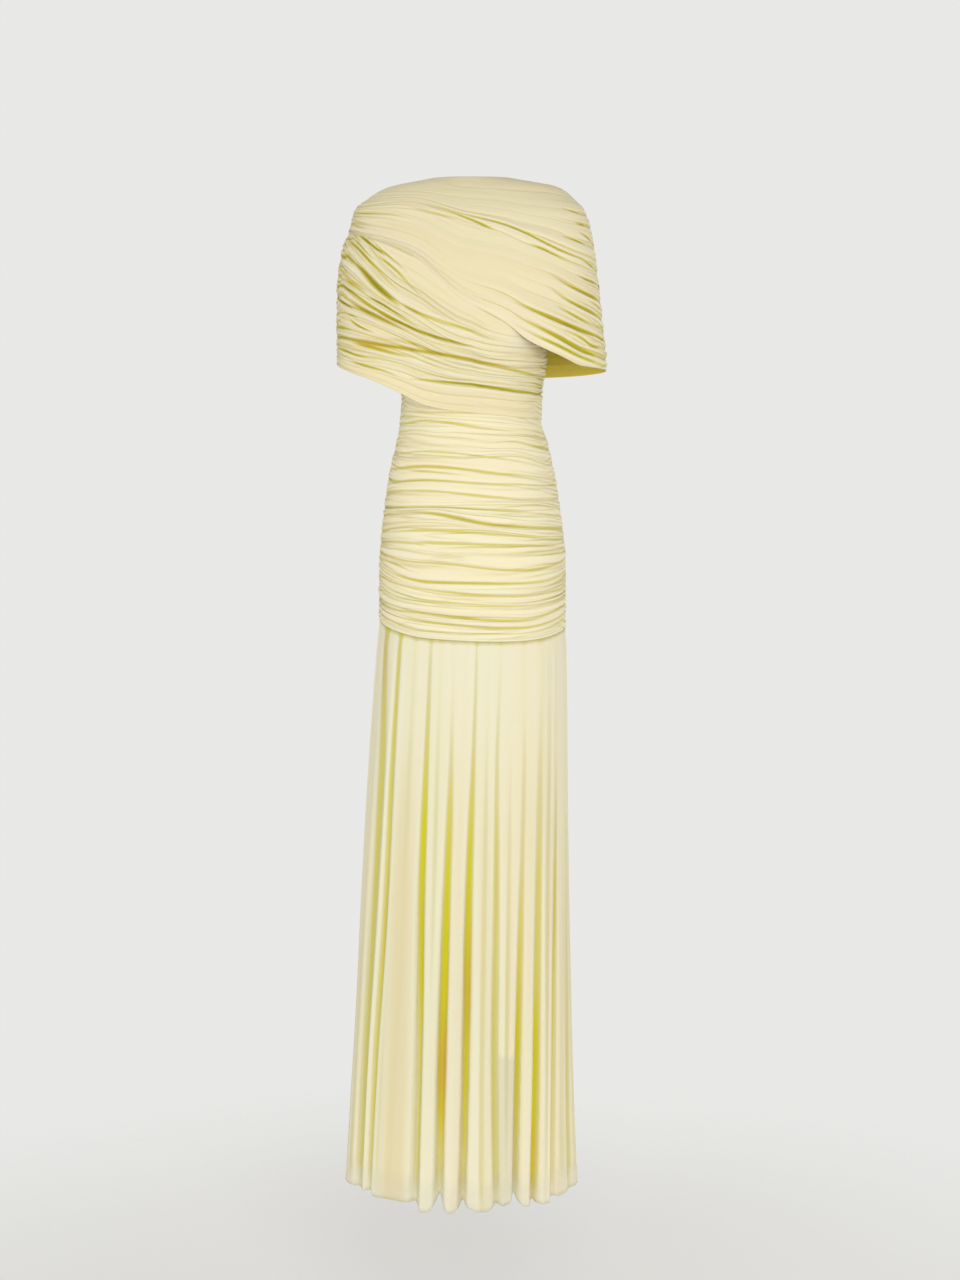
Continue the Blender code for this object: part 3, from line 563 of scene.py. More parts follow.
class GownSizes(bpy.types.PropertyGroup):
    """Sizes of the cloth and its folds."""

    cloth_wall: length_setting("Cloth wall", "Thickness of the outer cloth", 0.0008)
    fold_height: FloatProperty(
        name="Fold height", description="Scale of the gathered folds", default=1.0, subtype="FACTOR"
    )
    tuck_pitch: length_setting("Tuck pitch", "Spacing of the small tucks at seams", 0.0076)
    tuck_height: length_setting("Tuck height", "Height of the small tucks at seams", 0.0020)
    knit_pitch: length_setting("Knit pitch", "Spacing of the knit's stitches", 0.0011)


class GownColours(bpy.types.PropertyGroup):
    """Colours of the cloth and the studio."""

    lit: colour_setting("Body", "Cloth of the body in full light", (0.89, 0.80, 0.52))
    drape_lit: colour_setting("Drape", "Cloth of the drape", (0.82, 0.725, 0.465))
    skirt_lit: colour_setting("Skirt", "Cloth of the skirt", (0.87, 0.80, 0.54))
    # The crease colours are painted shade in the creases, yellowed by light through the cloth; amber is
    # painted light through several layers; the inner face's colour is painted shade on the drape's inner
    # face
    crease: colour_setting("Crease", "Cloth where a crease begins", (0.70, 0.615, 0.18))
    deep_crease: colour_setting("Deep crease", "Cloth in a deep crease", (0.50, 0.445, 0.025))
    amber: colour_setting("Amber", "Several layers seen in a deep crease", (0.66, 0.42, 0.06))
    inside: colour_setting("Inside", "Inner face of the drape", (0.86, 0.73, 0.13))
    lining: colour_setting("Lining", "Cloth of the under-skirt", (0.88, 0.78, 0.49))
    studio: colour_setting("Studio", "Floor", (0.78, 0.78, 0.77))


def smooth_step(share):
    """An eased rise from 0 to 1."""
    share = np.clip(share, 0.0, 1.0)
    return share * share * (3.0 - 2.0 * share)


def beyond(value, start, span):
    """An eased rise from 0 where value passes start to 1 a span further on."""
    return smooth_step((value - start) / span)


def near(away, reach):
    """1 at no distance, eased to 0 at a reach."""
    return smooth_step(1.0 - away / reach)


def bell(away, power=2):
    """1 at no distance and next to nothing beyond 2, with steeper sides for a higher power."""
    return np.exp(-(np.abs(away) ** power))


def mix(first, second, share):
    """The value a share of the way from first to second."""
    return first + (second - first) * share


def smooth_curve(keys, values, at):
    """A smooth curve through rising keys, which never overshoots and is held past both ends."""
    keys = np.asarray(keys, dtype=float)
    values = np.asarray(values, dtype=float)
    spans = np.diff(keys)
    slopes = np.diff(values) / spans
    before, after = slopes[:-1], slopes[1:]
    same_way = before * after > 0.0
    total = np.where(same_way, before + after, 1.0)
    inner = np.where(same_way, 2.0 * before * after / total, 0.0)
    tangents = np.concatenate((slopes[:1], inner, slopes[-1:]))
    at = np.clip(at, keys[0], keys[-1])
    index = np.clip(np.searchsorted(keys, at, side="right") - 1, 0, len(keys) - 2)
    span = spans[index]
    share = (at - keys[index]) / span
    squared = share * share
    cubed = squared * share
    return (
        values[index] * (2.0 * cubed - 3.0 * squared + 1.0)
        + values[index + 1] * (3.0 * squared - 2.0 * cubed)
        + span * tangents[index] * (cubed - 2.0 * squared + share)
        + span * tangents[index + 1] * (cubed - squared)
    )


def edge_drop(line, across):
    """The drop of an edge at a place across."""
    return smooth_curve(*line, across)


class WornForm:
    """The worn form under one piece, between its seams."""

    def __init__(self, name):
        piece = PIECES[name]
        self.side = piece.side
        self.left = piece.left
        self.right = piece.right
        self.depth = "front" if piece.side == FRONT else "back"

    def point(self, across, drop):
        """A point of the form."""
        left, right, depth = (
            smooth_curve(SECTIONS["drop"], SECTIONS[column], drop)
            for column in (self.left, self.right, self.depth)
        )
        angle = math.pi * across
        half_width = np.where(across < 0.5, left, right)
        deep = self.side * (HALF_SEAM + depth * np.sin(angle))
        return np.stack((-half_width * np.cos(angle), deep, -drop), axis=-1)

    def sideways(self, across, drop):
        """The way across the form, over two slope steps."""
        return self.point(across + SLOPE_STEP, drop) - self.point(across - SLOPE_STEP, drop)

    def outset(self, across, drop, out):
        """The form's point, moved outwards along its normal."""
        downwards = self.point(across, drop + SLOPE_STEP) - self.point(across, drop - SLOPE_STEP)
        normal = np.cross(self.sideways(across, drop), downwards) * self.side
        normal /= np.linalg.norm(normal, axis=-1, keepdims=True)
        return self.point(across, drop) + normal * out[..., None]

    def stretch_across(self, across, drop):
        """Metres of cloth for each unit across."""
        return np.linalg.norm(self.sideways(across, drop), axis=-1) / (2.0 * SLOPE_STEP)


def cloth_lengths(points, axis):
    """Metres of cloth along one axis of a grid of points, from its first line."""
    first = np.take(points, [0], axis=axis)
    steps = np.linalg.norm(np.diff(points, axis=axis, prepend=first), axis=-1)
    return np.cumsum(steps, axis=axis)


def cloth_piece(name, points, attributes, materials, wall):
    """A cloth piece on a grid of points, with its wall, its map in metres and its attributes."""
    node, slot, side, *_seams = PIECES[name]
    rows, columns = points.shape[0] - 1, points.shape[1] - 1
    sheet = bmesh.new()
    bmesh.ops.create_grid(sheet, x_segments=columns, y_segments=rows, size=0.5)
    mesh = bpy.data.meshes.new(name + CLOTH_ENDING)
    sheet.to_mesh(mesh)
    sheet.free()
    flat = np.empty(len(mesh.vertices) * 3, dtype=np.float32)
    mesh.vertices.foreach_get("co", flat)
    flat = flat.reshape(-1, 3)
    column = np.rint((flat[:, 0] + 0.5) * columns).astype(int)
    row = np.rint((0.5 - flat[:, 1]) * rows).astype(int)
    mesh.vertices.foreach_set("co", points[row, column].astype(np.float32).ravel())
    for key, values in attributes.items():
        layer = mesh.attributes.new(key, "FLOAT", "POINT")
        layer.data.foreach_set("value", values[row, column].astype(np.float32))
    across, down = cloth_lengths(points, 1), cloth_lengths(points, 0)
    corner = np.empty(len(mesh.loops), dtype=np.int32)
    mesh.loops.foreach_get("vertex_index", corner)
    place = np.stack((across[row, column], -down[row, column]), axis=-1)[corner]
    mesh.uv_layers.new(name="Cloth")
    mesh.uv_layers["Cloth"].data.foreach_set("uv", place.astype(np.float32).ravel())
    if side == BACK:
        mesh.flip_normals()
    mesh.shade_smooth()
    mesh.update()
    for material in materials:
        mesh.materials.append(material)
    piece = bpy.data.objects.new(name + CLOTH_ENDING, mesh)
    bpy.context.scene.collection.objects.link(piece)
    thickness = piece.modifiers.new("Cloth wall", "SOLIDIFY")
    thickness.thickness = wall
    thickness.offset = -1.0
    thickness.material_offset = len(materials) - 1
    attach(piece, BODY)
    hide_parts(node)


RIDGE_POWER = 0.62         # below 1 the folds are round and the creases between them narrow
RIDGE_LEAN = 1.22          # above 1 a fold is fullest below its middle
STEEPEST = 0.26            # most a fold stands out, as a share of its width
SEAM_PULL = 0.35
SEAM_PULL_REACH = 0.05
CROWDING = 0.45            # how much closer the columns are at the seams
WANDER = 0.22              # how far a crease strays, as a share of the room beside it
STEADY = 0.4               # how much of that it strays at a seam, and from how far in it is less
STEADY_REACH = 0.04
FADE = 0.25                # how far a crease fills up between the seams, and how unevenly
FADE_SWING = 0.45
FADE_MOST = 0.75
FADE_REACH = 0.14
HIDDEN_ROWS = 0.25         # share of the usual rows that a hidden fold gets
SPLIT_WIDTH = 0.085        # half-width of a split, as a share of its fold
SPLITS = (0.32, 0.68)      # where a fold splits, as shares of its width
WIDE_FOLD = 0.017          # a fold wider than this splits in three places
WIDE_SPLITS = (0.24, 0.50, 0.76)
LIP_AWAY = 1.9             # where a trough's raised lips are, in half-widths
LIP_SHARE = 0.34           # their height, as a share of the trough's depth
LENGTH_STEP = 0.01         # step for reading a trough's fall
# How a trough is coloured with painted shade and amber painted light through the cloth: strength, place and
# half-width of each band along it, in its half-widths
TINT_BANDS = ((0.90, -0.25, 0.85), (0.20, -0.50, 2.40))
DARK_BANDS = ((0.58, 0.10, 0.45),)
AMBER_BANDS = ((1.00, -0.45, 0.95),)
FINE_WIDTH = 0.0015        # half-width of a fine crease
FINE_ROWS = 1.3            # and at least this many rows
SMOOTH_TOP = 0.020         # down to this drop the cloth lies smooth round the neck
SMOOTH_EASE = 0.035
SEAM_NEAR = 0.13           # how near a seam, across, a crease ends to run on into it
RUN_ON = 0.35              # how strong it is there
SEAM_DIP = 0.0008          # how far the cloth is drawn in along a tucked seam
SEAM_DIP_REACH = 0.018
# painted shade: how deep a fine hollow is fully tinted, and the tint and darkening in the tucks
FINE_HOLLOW = 0.00020      # a fine hollow this deep is fully tinted
FINE_TINT = 0.12
TUCK_TINT = 0.30
TUCK_DARK = 0.80


def bands(away, rows):
    """Soft bands beside each other, from the strength, place and half-width of each."""
    return sum(strength * bell((away - place) / half_width) for strength, place, half_width in rows)


def ridge(share):
    """The rounded rise of a fold between two creases, from 0 to 1 and back."""
    leaning = share ** RIDGE_LEAN
    return np.clip(4.0 * leaning * (1.0 - leaning), 0.0, 1.0) ** RIDGE_POWER


def wandering(across, random, waves=3):
    """A smooth, uneven line between about -1 and 1."""
    total = np.zeros_like(across)
    for wave in range(1, waves + 1):
        turns = random.uniform(0.6, 1.6) * wave
        start = random.uniform(0.0, 2.0 * math.pi)
        total += np.sin(2.0 * math.pi * turns * across + start) / wave
    return total / 1.8


def soften(values, times, axis):
    """Values blurred along one axis."""
    values = np.moveaxis(values, axis, 0).copy()
    for _ in range(times):
        padded = np.concatenate((values[:1], values, values[-1:]), axis=0)
        values = 0.25 * padded[:-2] + 0.5 * padded[1:-1] + 0.25 * padded[2:]
    return np.moveaxis(values, 0, axis)


def rows_along(gaps, panel):
    """Shares a panel's rows among its folds by their widths: each row's fold, and its place in it."""
    shown = gaps.copy()
    shown[:panel.hidden] *= HIDDEN_ROWS
    counts = np.maximum(np.rint(panel.rows * shown / shown.sum()).astype(int), 4)
    index = np.repeat(np.arange(len(counts)), counts)
    share = np.concatenate([np.arange(count) / count for count in counts])
    return np.append(index, len(counts) - 1), np.append(share, 1.0)[:, None]


class Folds:
    """The gathered folds of one panel, on a grid whose rows run along its creases."""

    def __init__(self, name, creases, placed, shades, sizes):
        self.name = name
        self.sizes = sizes
        self.detail = DETAILS[name]
        self.form = WornForm(name)
        self.random = np.random.default_rng(PANELS[name].seed)
        self.gather(creases, PANELS[name])
        self.cut_troughs(placed)
        self.height *= self.detail.relief
        self.tint *= self.detail.relief
        self.dark *= self.detail.shadow
        self.add_fine_creases()
        self.add_tucks()
        # painted shade over each listed patch, painted light where its tint is below 0, and amber painted
        # light through the layers
        for middle, half_across, top, bottom, tint, amber in shades:
            ease = 0.3 * (bottom - top)
            down = beyond(self.drop, top, ease) * smooth_step((bottom - self.drop) / ease)
            over = bell((self.across - middle) / half_across) * down
            self.tint += tint * over
            self.amber += amber * over

    def gather(self, creases, panel):
        """Lays the gathered folds, from one crease to the next."""
        even = np.linspace(0.0, 1.0, panel.columns + 1)
        across = even - CROWDING * np.sin(2.0 * math.pi * even) / (2.0 * math.pi)
        from_seam = np.minimum(across, 1.0 - across)
        lines = np.array([smooth_curve(LINE_PLACES, crease[:5], across) for crease in creases])
        if panel.bottom is not None:
            lines = mix(edge_drop(panel.top, across), edge_drop(panel.bottom, across), lines)
        depths = np.array([smooth_curve(DEPTH_PLACES, crease[5:], across) for crease in creases])
        gaps = np.diff(lines, axis=0)
        room = np.minimum(gaps[:-1], gaps[1:])
        loose = mix(STEADY, 1.0, smooth_step(from_seam / STEADY_REACH))
        faded = np.zeros_like(depths)
        for index in range(1, len(lines) - 1):
            lines[index] += WANDER * room[index - 1] * wandering(across, self.random) * loose
            fade = np.clip(FADE + FADE_SWING * wandering(across, self.random, 4), 0.0, FADE_MOST)
            faded[index] = depths[index] * fade * smooth_step(from_seam / FADE_REACH)
        gaps = np.diff(lines, axis=0).mean(axis=1)
        index, share = rows_along(gaps, panel)
        upper, lower = lines[index], lines[index + 1]
        self.across = np.broadcast_to(across, upper.shape)
        self.drop = mix(upper, lower, share)
        steepest = STEEPEST * (lower - upper)
        crease = np.minimum(mix(faded[index], faded[index + 1], share), steepest)
        full = np.minimum(mix(depths[index], depths[index + 1], share), steepest)
        rise = ridge(share) * self.splits(index, share, gaps, panel.reach)
        self.height = crease + (full - crease) * rise
        self.height *= 1.0 - SEAM_PULL * near(from_seam, SEAM_PULL_REACH)
        self.height *= self.sizes.fold_height
        self.tint, self.dark, self.amber = (np.zeros_like(self.height) for _ in range(3))

    def splits(self, index, share, gaps, reach):
        """How much of each fold's height is left where smaller creases split it."""
        random = self.random
        across = self.across[0]
        keep = np.ones(self.across.shape)
        for fold, gap in enumerate(gaps):
            rows = np.nonzero(index == fold)[0]
            for place in WIDE_SPLITS if gap > WIDE_FOLD else SPLITS:
                centre = place + random.uniform(-0.09, 0.09)
                from_left = near(across, reach * random.uniform(0.3, 1.6))
                from_right = near(1.0 - across, reach * random.uniform(0.3, 1.6))
                strength = random.uniform(0.25, 0.80)
                away = share[rows] - centre - 0.07 * wandering(across, random, 2)
                dip = np.maximum(from_left, from_right) * bell(away / SPLIT_WIDTH, 1.4)
                keep[rows] *= 1.0 - strength * dip
        return keep

    def cut_troughs(self, placed):
        """Cuts the listed creases, with a soft lip along each side."""
        stretch = self.form.stretch_across(self.across, self.drop)
        for trough in placed:
            span = trough.end - trough.start
            along = (self.across - trough.start) / span
            line = smooth_curve(LENGTHS, trough[2:6], along)
            ahead = smooth_curve(LENGTHS, trough[2:6], along + LENGTH_STEP)
            fall = (ahead - line) / (LENGTH_STEP * span * stretch)
            away = (self.drop - line) / np.sqrt(1.0 + fall * fall) / trough.half_width
            rise = smooth_step(along / trough.peak)
            fade = smooth_step((1.0 - along) / (1.0 - trough.peak))
            # a crease that ends near a seam runs on into it, thinner
            if trough.start < SEAM_NEAR:
                rise = np.maximum(rise, RUN_ON * smooth_step(1.0 - 2.0 * along))
            if trough.end > 1.0 - SEAM_NEAR:
                fade = np.maximum(fade, RUN_ON * smooth_step(2.0 * along - 1.0))
            taper = (rise * fade) ** 0.8
            self.height += trough.depth * taper * (LIP_SHARE * bell(np.abs(away) - LIP_AWAY) - bell(away))
            # the colour gathers on the upper side of a crease, where light comes through the cloth
            tint = trough.tint * taper
            self.tint += tint * bands(away, TINT_BANDS)
            self.dark += tint * bands(away, DARK_BANDS)
            self.amber += trough.amber * taper * bands(away, AMBER_BANDS)

    def add_fine_creases(self):
        """Adds fine creases that run in from the side seams along the folds."""
        random = self.random
        detail = self.detail
        last = self.drop.shape[0] - 1
        columns = np.arange(self.drop.shape[1])
        across = self.across[0]
        below_neck = beyond(self.drop, SMOOTH_TOP, SMOOTH_EASE)
        for number in range(detail.creases):
            from_seam = across if number % 2 else 1.0 - across
            along = from_seam / (detail.longest * random.uniform(0.25, 1.0))
            row = random.uniform(0.01, 0.99) * last + random.uniform(1.0, 3.5) * wandering(across, random, 2)
            row = np.clip(row, 0.0, last - 0.001)
            whole = row.astype(int)
            above, below = self.drop[whole, columns], self.drop[whole + 1, columns]
            half_width = np.maximum(FINE_WIDTH * random.uniform(0.8, 1.3), FINE_ROWS * (below - above))
            away = (self.drop - mix(above, below, row - whole)) / half_width
            strong = random.uniform(0.4, 1.0) * smooth_step(1.0 - along) * smooth_step(along / 0.10)
            strong = strong * bell(away) * below_neck
            self.height -= detail.depth * strong
            # painted shade along the fine crease
            self.tint += 0.4 * detail.tint * strong
            self.dark += detail.tint * strong

    def add_tucks(self):
        """Adds the small tight tucks where the cloth is drawn up along its side seams."""
        random = self.random
        detail = self.detail
        for strength, reach, from_seam in (
            (detail.left_tucks, detail.left_reach, self.across),
            (detail.right_tucks, detail.right_reach, 1.0 - self.across),
        ):
            wave = self.drop / self.sizes.tuck_pitch
            wave = wave + 0.35 * np.sin(wave * 0.83 + random.uniform(0, 6)) + random.uniform(0, 1)
            wave = wave + 1.6 * from_seam / reach * np.sin(wave * 0.31)
            tuck = np.abs(np.sin(math.pi * wave)) ** 0.8
            uneven = 0.7 + 0.3 * np.sin(wave * 1.7 + random.uniform(0, 6))
            strong = strength * uneven * near(from_seam, reach) * beyond(self.drop, SMOOTH_TOP, SMOOTH_EASE)
            self.height += self.sizes.tuck_height * strong * (tuck - 0.45)
            self.height -= SEAM_DIP * strength * near(from_seam, SEAM_DIP_REACH)
            # painted shade in the tucks' folds
            self.tint += TUCK_TINT * strong * (1.0 - tuck) ** 2
            self.dark += TUCK_DARK * strong * (1.0 - tuck) ** 2

    def settle(self, shown):
        """Flattens the folds where they don't show, and keeps them off the layer below."""
        self.height = np.maximum(self.height * shown, self.detail.lowest)

    def lay(self, base, shown, materials):
        """Makes the panel's cloth on a base, with the attributes that its colour follows."""
        detail = self.detail
        # painted shade in hollows, and a painted highlight where the cloth stands out from round it
        cavity = np.clip((soften(self.height, detail.blur, 0) - self.height) / detail.hollow, -0.6, 1.0)
        fine = np.clip((soften(self.height, 2, 0) - self.height) / FINE_HOLLOW, -0.5, 1.0)
        crease = detail.hollow_tint * np.where(cavity > 0.0, np.abs(cavity) ** 1.6, cavity)
        attributes = {
            "crease": crease + FINE_TINT * fine + self.tint * shown,
            "dark": np.clip(self.dark * shown, 0.0, 1.0),
            "amber": np.clip(self.amber * shown, 0.0, 1.0),
            "flow_along": self.across * 0.4,
            "flow_across": np.broadcast_to(self.drop.mean(axis=1)[:, None], self.drop.shape),
        }
        points = self.form.outset(self.across, self.drop, base + self.height)
        cloth_piece(self.name, points, attributes, materials, self.sizes.cloth_wall)


def maths(kind, reflected=False):
    """An operator of Wire, which adds a Math node."""
    def combine(self, other=0.0):
        first, second = (other, self) if reflected else (self, other)
        return self.paint.node("ShaderNodeMath", {"operation": kind}, {0: first, 1: second})
    return combine


class Wire:
    """A shader socket that can be used in sums, products, differences and powers."""

    def __init__(self, paint, socket):
        self.paint = paint
        self.socket = socket

    __add__ = maths("ADD")
    __radd__ = maths("ADD", reflected=True)
    __sub__ = maths("SUBTRACT")
    __rsub__ = maths("SUBTRACT", reflected=True)
    __mul__ = maths("MULTIPLY")
    __rmul__ = maths("MULTIPLY", reflected=True)
    __pow__ = maths("POWER")
    __rpow__ = maths("POWER", reflected=True)
    __abs__ = maths("ABSOLUTE")


class Paint:
    """The nodes of one material, or of the studio's air."""

    def __init__(self, owner):
        self.owner = owner
        self.owner.use_nodes = True
        self.tree = self.owner.node_tree
        self.tree.nodes.clear()

    def node(self, kind, settings=None, sockets=None, output=0):
        """Adds a node: its settings first, then the values or links of its sockets."""
        node = self.tree.nodes.new(kind)
        for key, value in (settings or {}).items():
            if key == "stops":
                self.set_stops(node.color_ramp, value)
            else:
                setattr(node, key, value)
        for key, value in (sockets or {}).items():
            if isinstance(value, Wire):
                self.tree.links.new(value.socket, node.inputs[key])
            else:
                node.inputs[key].default_value = value
        return Wire(self, node.outputs[output]) if node.outputs else None

    def set_stops(self, ramp, stops):
        """Gives a colour ramp its stops."""
        while len(ramp.elements) < len(stops):
            ramp.elements.new(1.0)
        for element, (place, colour) in zip(ramp.elements, stops):
            element.position = place
            element.color = rgba(colour)

    def mix_colour(self, share, first, second, blend="MIX"):
        """A colour between two, or one multiplied by another in part."""
        settings = {"data_type": "RGBA", "blend_type": blend}
        return self.node("ShaderNodeMix", settings, {"Factor": share, 6: first, 7: second}, output=2)

    def attribute(self, name):
        """A piece's own values, by vertex."""
        return self.node("ShaderNodeAttribute", {"attribute_name": name}, output="Fac")

    def worn_place(self):
        """The place on the worn gown."""
        return self.node("ShaderNodeTexCoord", output="Object")

    def along_folds(self, lengthwise, crosswise):
        """A place for patterns that follow the folds."""
        along, across = self.attribute("flow_along"), self.attribute("flow_across")
        return self.node("ShaderNodeCombineXYZ", None, {0: along * lengthwise, 1: across * crosswise})

    def noise(self, dimensions, place, scale, **sockets):
        """An uneven pattern, 2D along the folds or 3D on the worn gown."""
        settings = {"noise_dimensions": dimensions}
        return self.node("ShaderNodeTexNoise", settings, {"Vector": place, "Scale": scale, **sockets})

    def knit(self, pitch, strength, **sockets):
        """The fine stitches of the mesh, as a bump: rows of small dents on the piece's own map."""
        place = self.node("ShaderNodeUVMap", {"uv_map": "Cloth"})
        across = self.node("ShaderNodeSeparateXYZ", None, {0: place}, output="X")
        along = Wire(self, across.socket.node.outputs["Y"])
        turn = 2.0 * math.pi / pitch
        wale = self.node("ShaderNodeMath", {"operation": "SINE"}, {0: across * turn})
        course = self.node("ShaderNodeMath", {"operation": "SINE"}, {0: along * (turn * 0.8)})
        return self.node(
            "ShaderNodeBump", None,
            {"Strength": strength, "Distance": 0.0003, "Height": wale * course, **sockets},
        )

    def surface(self, sockets):
        """Ends a material with its surface."""
        surface = self.node("ShaderNodeBsdfPrincipled", None, sockets)
        self.node("ShaderNodeOutputMaterial", None, {"Surface": surface})
        return self.owner


def rgba(colour):
    """A colour with full cover."""
    return (*colour, 1.0)


# How the cloth of a slot is coloured: its clouds, and its streaks of painted shade, its fine lines of
# painted shade, its knit, its cool and warm tinges, how sheer it is, and its colours in the deepest grooves
# (painted shade with light through the layers), without lining (painted shade seen through the cloth) and in
# sandy bands
Look = namedtuple(
    "Look",
    "mottle streaks line_length line_count line_sharpness line_tint line_height knit tinge"
    " sheer deepest bare sandy",
)
DRAPE_LOOK = Look(0.08, 0.07, 6.0, 105.0, 9.0, 0.16, 0.0012, 0.25, 0.5, 0.0, None, None, None)
BODY_LOOK = Look(0.08, 0.10, 6.0, 130.0, 9.0, 0.22, 0.0014, 0.25, 0.4, 0.0, None, None, None)
SKIRT_LOOK = Look(
    0.05, 0.28, 0.9, 46.0, 4.0, 0.05, 0.0010, 0.20, 0.5,
    0.5, (0.66, 0.60, 0.012), (0.66, 0.63, 0.44), (0.82, 0.70, 0.43),
)
WHITE = (1.0, 1.0, 1.0)
COOL_TINGE = (0.96, 1.0, 0.98)
WARM_TINGE = (1.0, 0.955, 0.91)
SHEEN = (1.0, 0.96, 0.80)
BETWEEN_CREASES = (0.84, 0.83, 0.68)   # how much light the cloth keeps beside a crease
THIN_CREASE = (0.50, 0.46, 0.34)       # and in a thin, tight one


def fine_folds(paint, look):
    """Fine lines along the folds: where they run, and the swell that they follow."""
    place = paint.along_folds(look.line_length, look.line_count)
    swell = paint.noise("2D", place, 1.0, Detail=1.5, Roughness=0.5)
    line = (1.0 - abs(swell * 2.0 - 1.0)) ** look.line_sharpness
    patch = paint.noise("2D", place, 0.23, Detail=1.0, Distortion=0.4)
    shown = paint.node(
        "ShaderNodeMapRange", {"interpolation_type": "SMOOTHSTEP"},
        {"Value": patch, "From Min": 0.36, "From Max": 0.62},
    )
    return line * shown, swell


def cloth_material(name, lit, colours, sizes, look):
    """The gown's mesh jersey: with painted shade and light where it is creased, and its stitches as a fine
    bump.
    """
    paint = Paint(bpy.data.materials.new(name))
    cloud = paint.noise("3D", paint.worn_place(), 9.0, Detail=3.0, Roughness=0.55)
    line, swell = fine_folds(paint, look)
    # painted shade: the crease attribute, the fine lines and the streaks of the swell push the colour
    # towards the crease colours; random clouds vary it
    deepened = paint.attribute("crease") + (cloud - 0.5) * look.mottle + line * look.line_tint
    deepened = deepened + (swell - 0.5) * look.streaks
    # painted light and shade: below 0.28 a painted highlight, then the lit cloth, painted shade beside a
    # crease, and painted shade with light through the cloth in the creases
    stops = (
        (0.00, [mix(value, 0.97, 0.22) for value in lit]),
        (0.28, lit),
        (0.46, [value * kept for value, kept in zip(lit, BETWEEN_CREASES)]),
        (0.64, colours.crease),
        (1.00, look.deepest or colours.deep_crease),
    )
    colour = paint.node("ShaderNodeValToRGB", {"stops": stops}, {"Fac": deepened * 0.72 + 0.28})
    # sandy bands of several layers, then painted shade where the lining is open and the shaded far side of
    # the skirt shows through
    if look.bare is not None:
        colour = paint.mix_colour(paint.attribute("sandy"), colour, rgba(look.sandy))
        colour = paint.mix_colour(paint.attribute("bare"), colour, rgba(look.bare))
    # amber painted light through several layers, then painted shade in thin creases
    colour = paint.mix_colour(paint.attribute("amber"), colour, rgba(colours.amber))
    shaded = paint.mix_colour(1.0, colour, rgba(THIN_CREASE), "MULTIPLY")
    colour = paint.mix_colour(paint.attribute("dark"), colour, shaded)
    place = paint.along_folds(0.5 * look.line_length, 0.45 * look.line_count)
    tinge = paint.node(
        "ShaderNodeValToRGB",
        {"stops": ((0.30, COOL_TINGE), (0.50, WHITE), (0.70, WARM_TINGE))},
        {"Fac": paint.noise("2D", place, 1.0, Detail=1.0, Roughness=0.6)},
    )
    colour = paint.mix_colour(look.tinge, colour, tinge, "MULTIPLY")
    folded = paint.node(
        "ShaderNodeBump", None,
        {"Strength": 1.0, "Distance": look.line_height, "Height": swell * 0.8 - line * 0.6},
    )
    sockets = {
        "Base Color": colour,
        "Roughness": 0.78,
        "Normal": paint.knit(sizes.knit_pitch, look.knit, Normal=folded),
        "Sheen Weight": 0.25,
        "Sheen Roughness": 0.4,
        "Sheen Tint": rgba(SHEEN),
        "Specular IOR Level": 0.25,
        "Subsurface Weight": 0.12,
        "Subsurface Radius": (1.0, 0.85, 0.40),
        "Subsurface Scale": 0.004,
    }
    if look.sheer > 0.0:
        sockets["Alpha"] = 1.0 - paint.attribute("sheer") * look.sheer
    return paint.surface(sockets)


def plain_cloth(name, colour, darkest, clouds, roughness, knit_pitch=None):
    """Cloth in soft clouds of one colour, for inner faces and the lining."""
    paint = Paint(bpy.data.materials.new(name))
    cloud = paint.noise("3D", paint.worn_place(), clouds, Detail=2.0)
    darker = [value * darkest for value in colour]
    sockets = {
        "Base Color": paint.mix_colour(cloud, rgba(colour), rgba(darker)),
        "Roughness": roughness,
        "Specular IOR Level": 0.2,
    }
    if knit_pitch is not None:
        sockets["Normal"] = paint.knit(knit_pitch, 0.2)
    return paint.surface(sockets)


def gown_settings(context):
    """The sizes and colours from the panel."""
    return context.scene.gown_sizes, context.scene.gown_colours


def drape_materials(sizes, colours):
    """The outer and inner cloth of the drape, made once for its three pieces."""
    made = bpy.data.materials
    if "drape_cloth" not in made:
        cloth_material("drape_cloth", colours.drape_lit, colours, sizes, DRAPE_LOOK)
        # its inner face is a darker, deeper yellow copy of the cloth: painted shade, with light through the
        # cloth
        plain_cloth("drape_inside", colours.inside, 0.9, 14.0, 0.82)
    return made["drape_cloth"], made["drape_inside"]


NECK_SINGLE = 0.034        # down to this drop the drape is single cloth
NECK_EASE = 0.030
RIGHT_EASE = 0.14          # and from here to the right seam, across
BUST_PLACE = 0.50          # where the upper wrap is drawn smooth over the bust
BUST_DROPS = (0.135, 0.165)
BUST_HALF_WIDTH = 0.15
BUST_HALF_HEIGHT = 0.042
BUST_SMOOTH = 0.85
HELD_TO = 0.76             # how far across and how far up the upper wrap's edge is held down
HELD_EASE = 0.10
HELD_REACH = 0.034
HELD_BASE = LOWER_BASE + 0.0016
HELD_FLAT = 0.4
# how much paler its held edge is painted: painted light
HELD_PALE = 0.10
DIP_PLACE = 0.62           # where it is drawn in over the place where the wraps cross
DIP_HALF_WIDTH = 0.07
DIP_REACH = 0.030
DIP_DEPTH = 0.0036
ROLL_TO = 0.66             # how far across and how far up its edge is rolled
ROLL_REACH = 0.014
ROLL_HEIGHT = 0.0011
ROLL_SHARE = 0.85


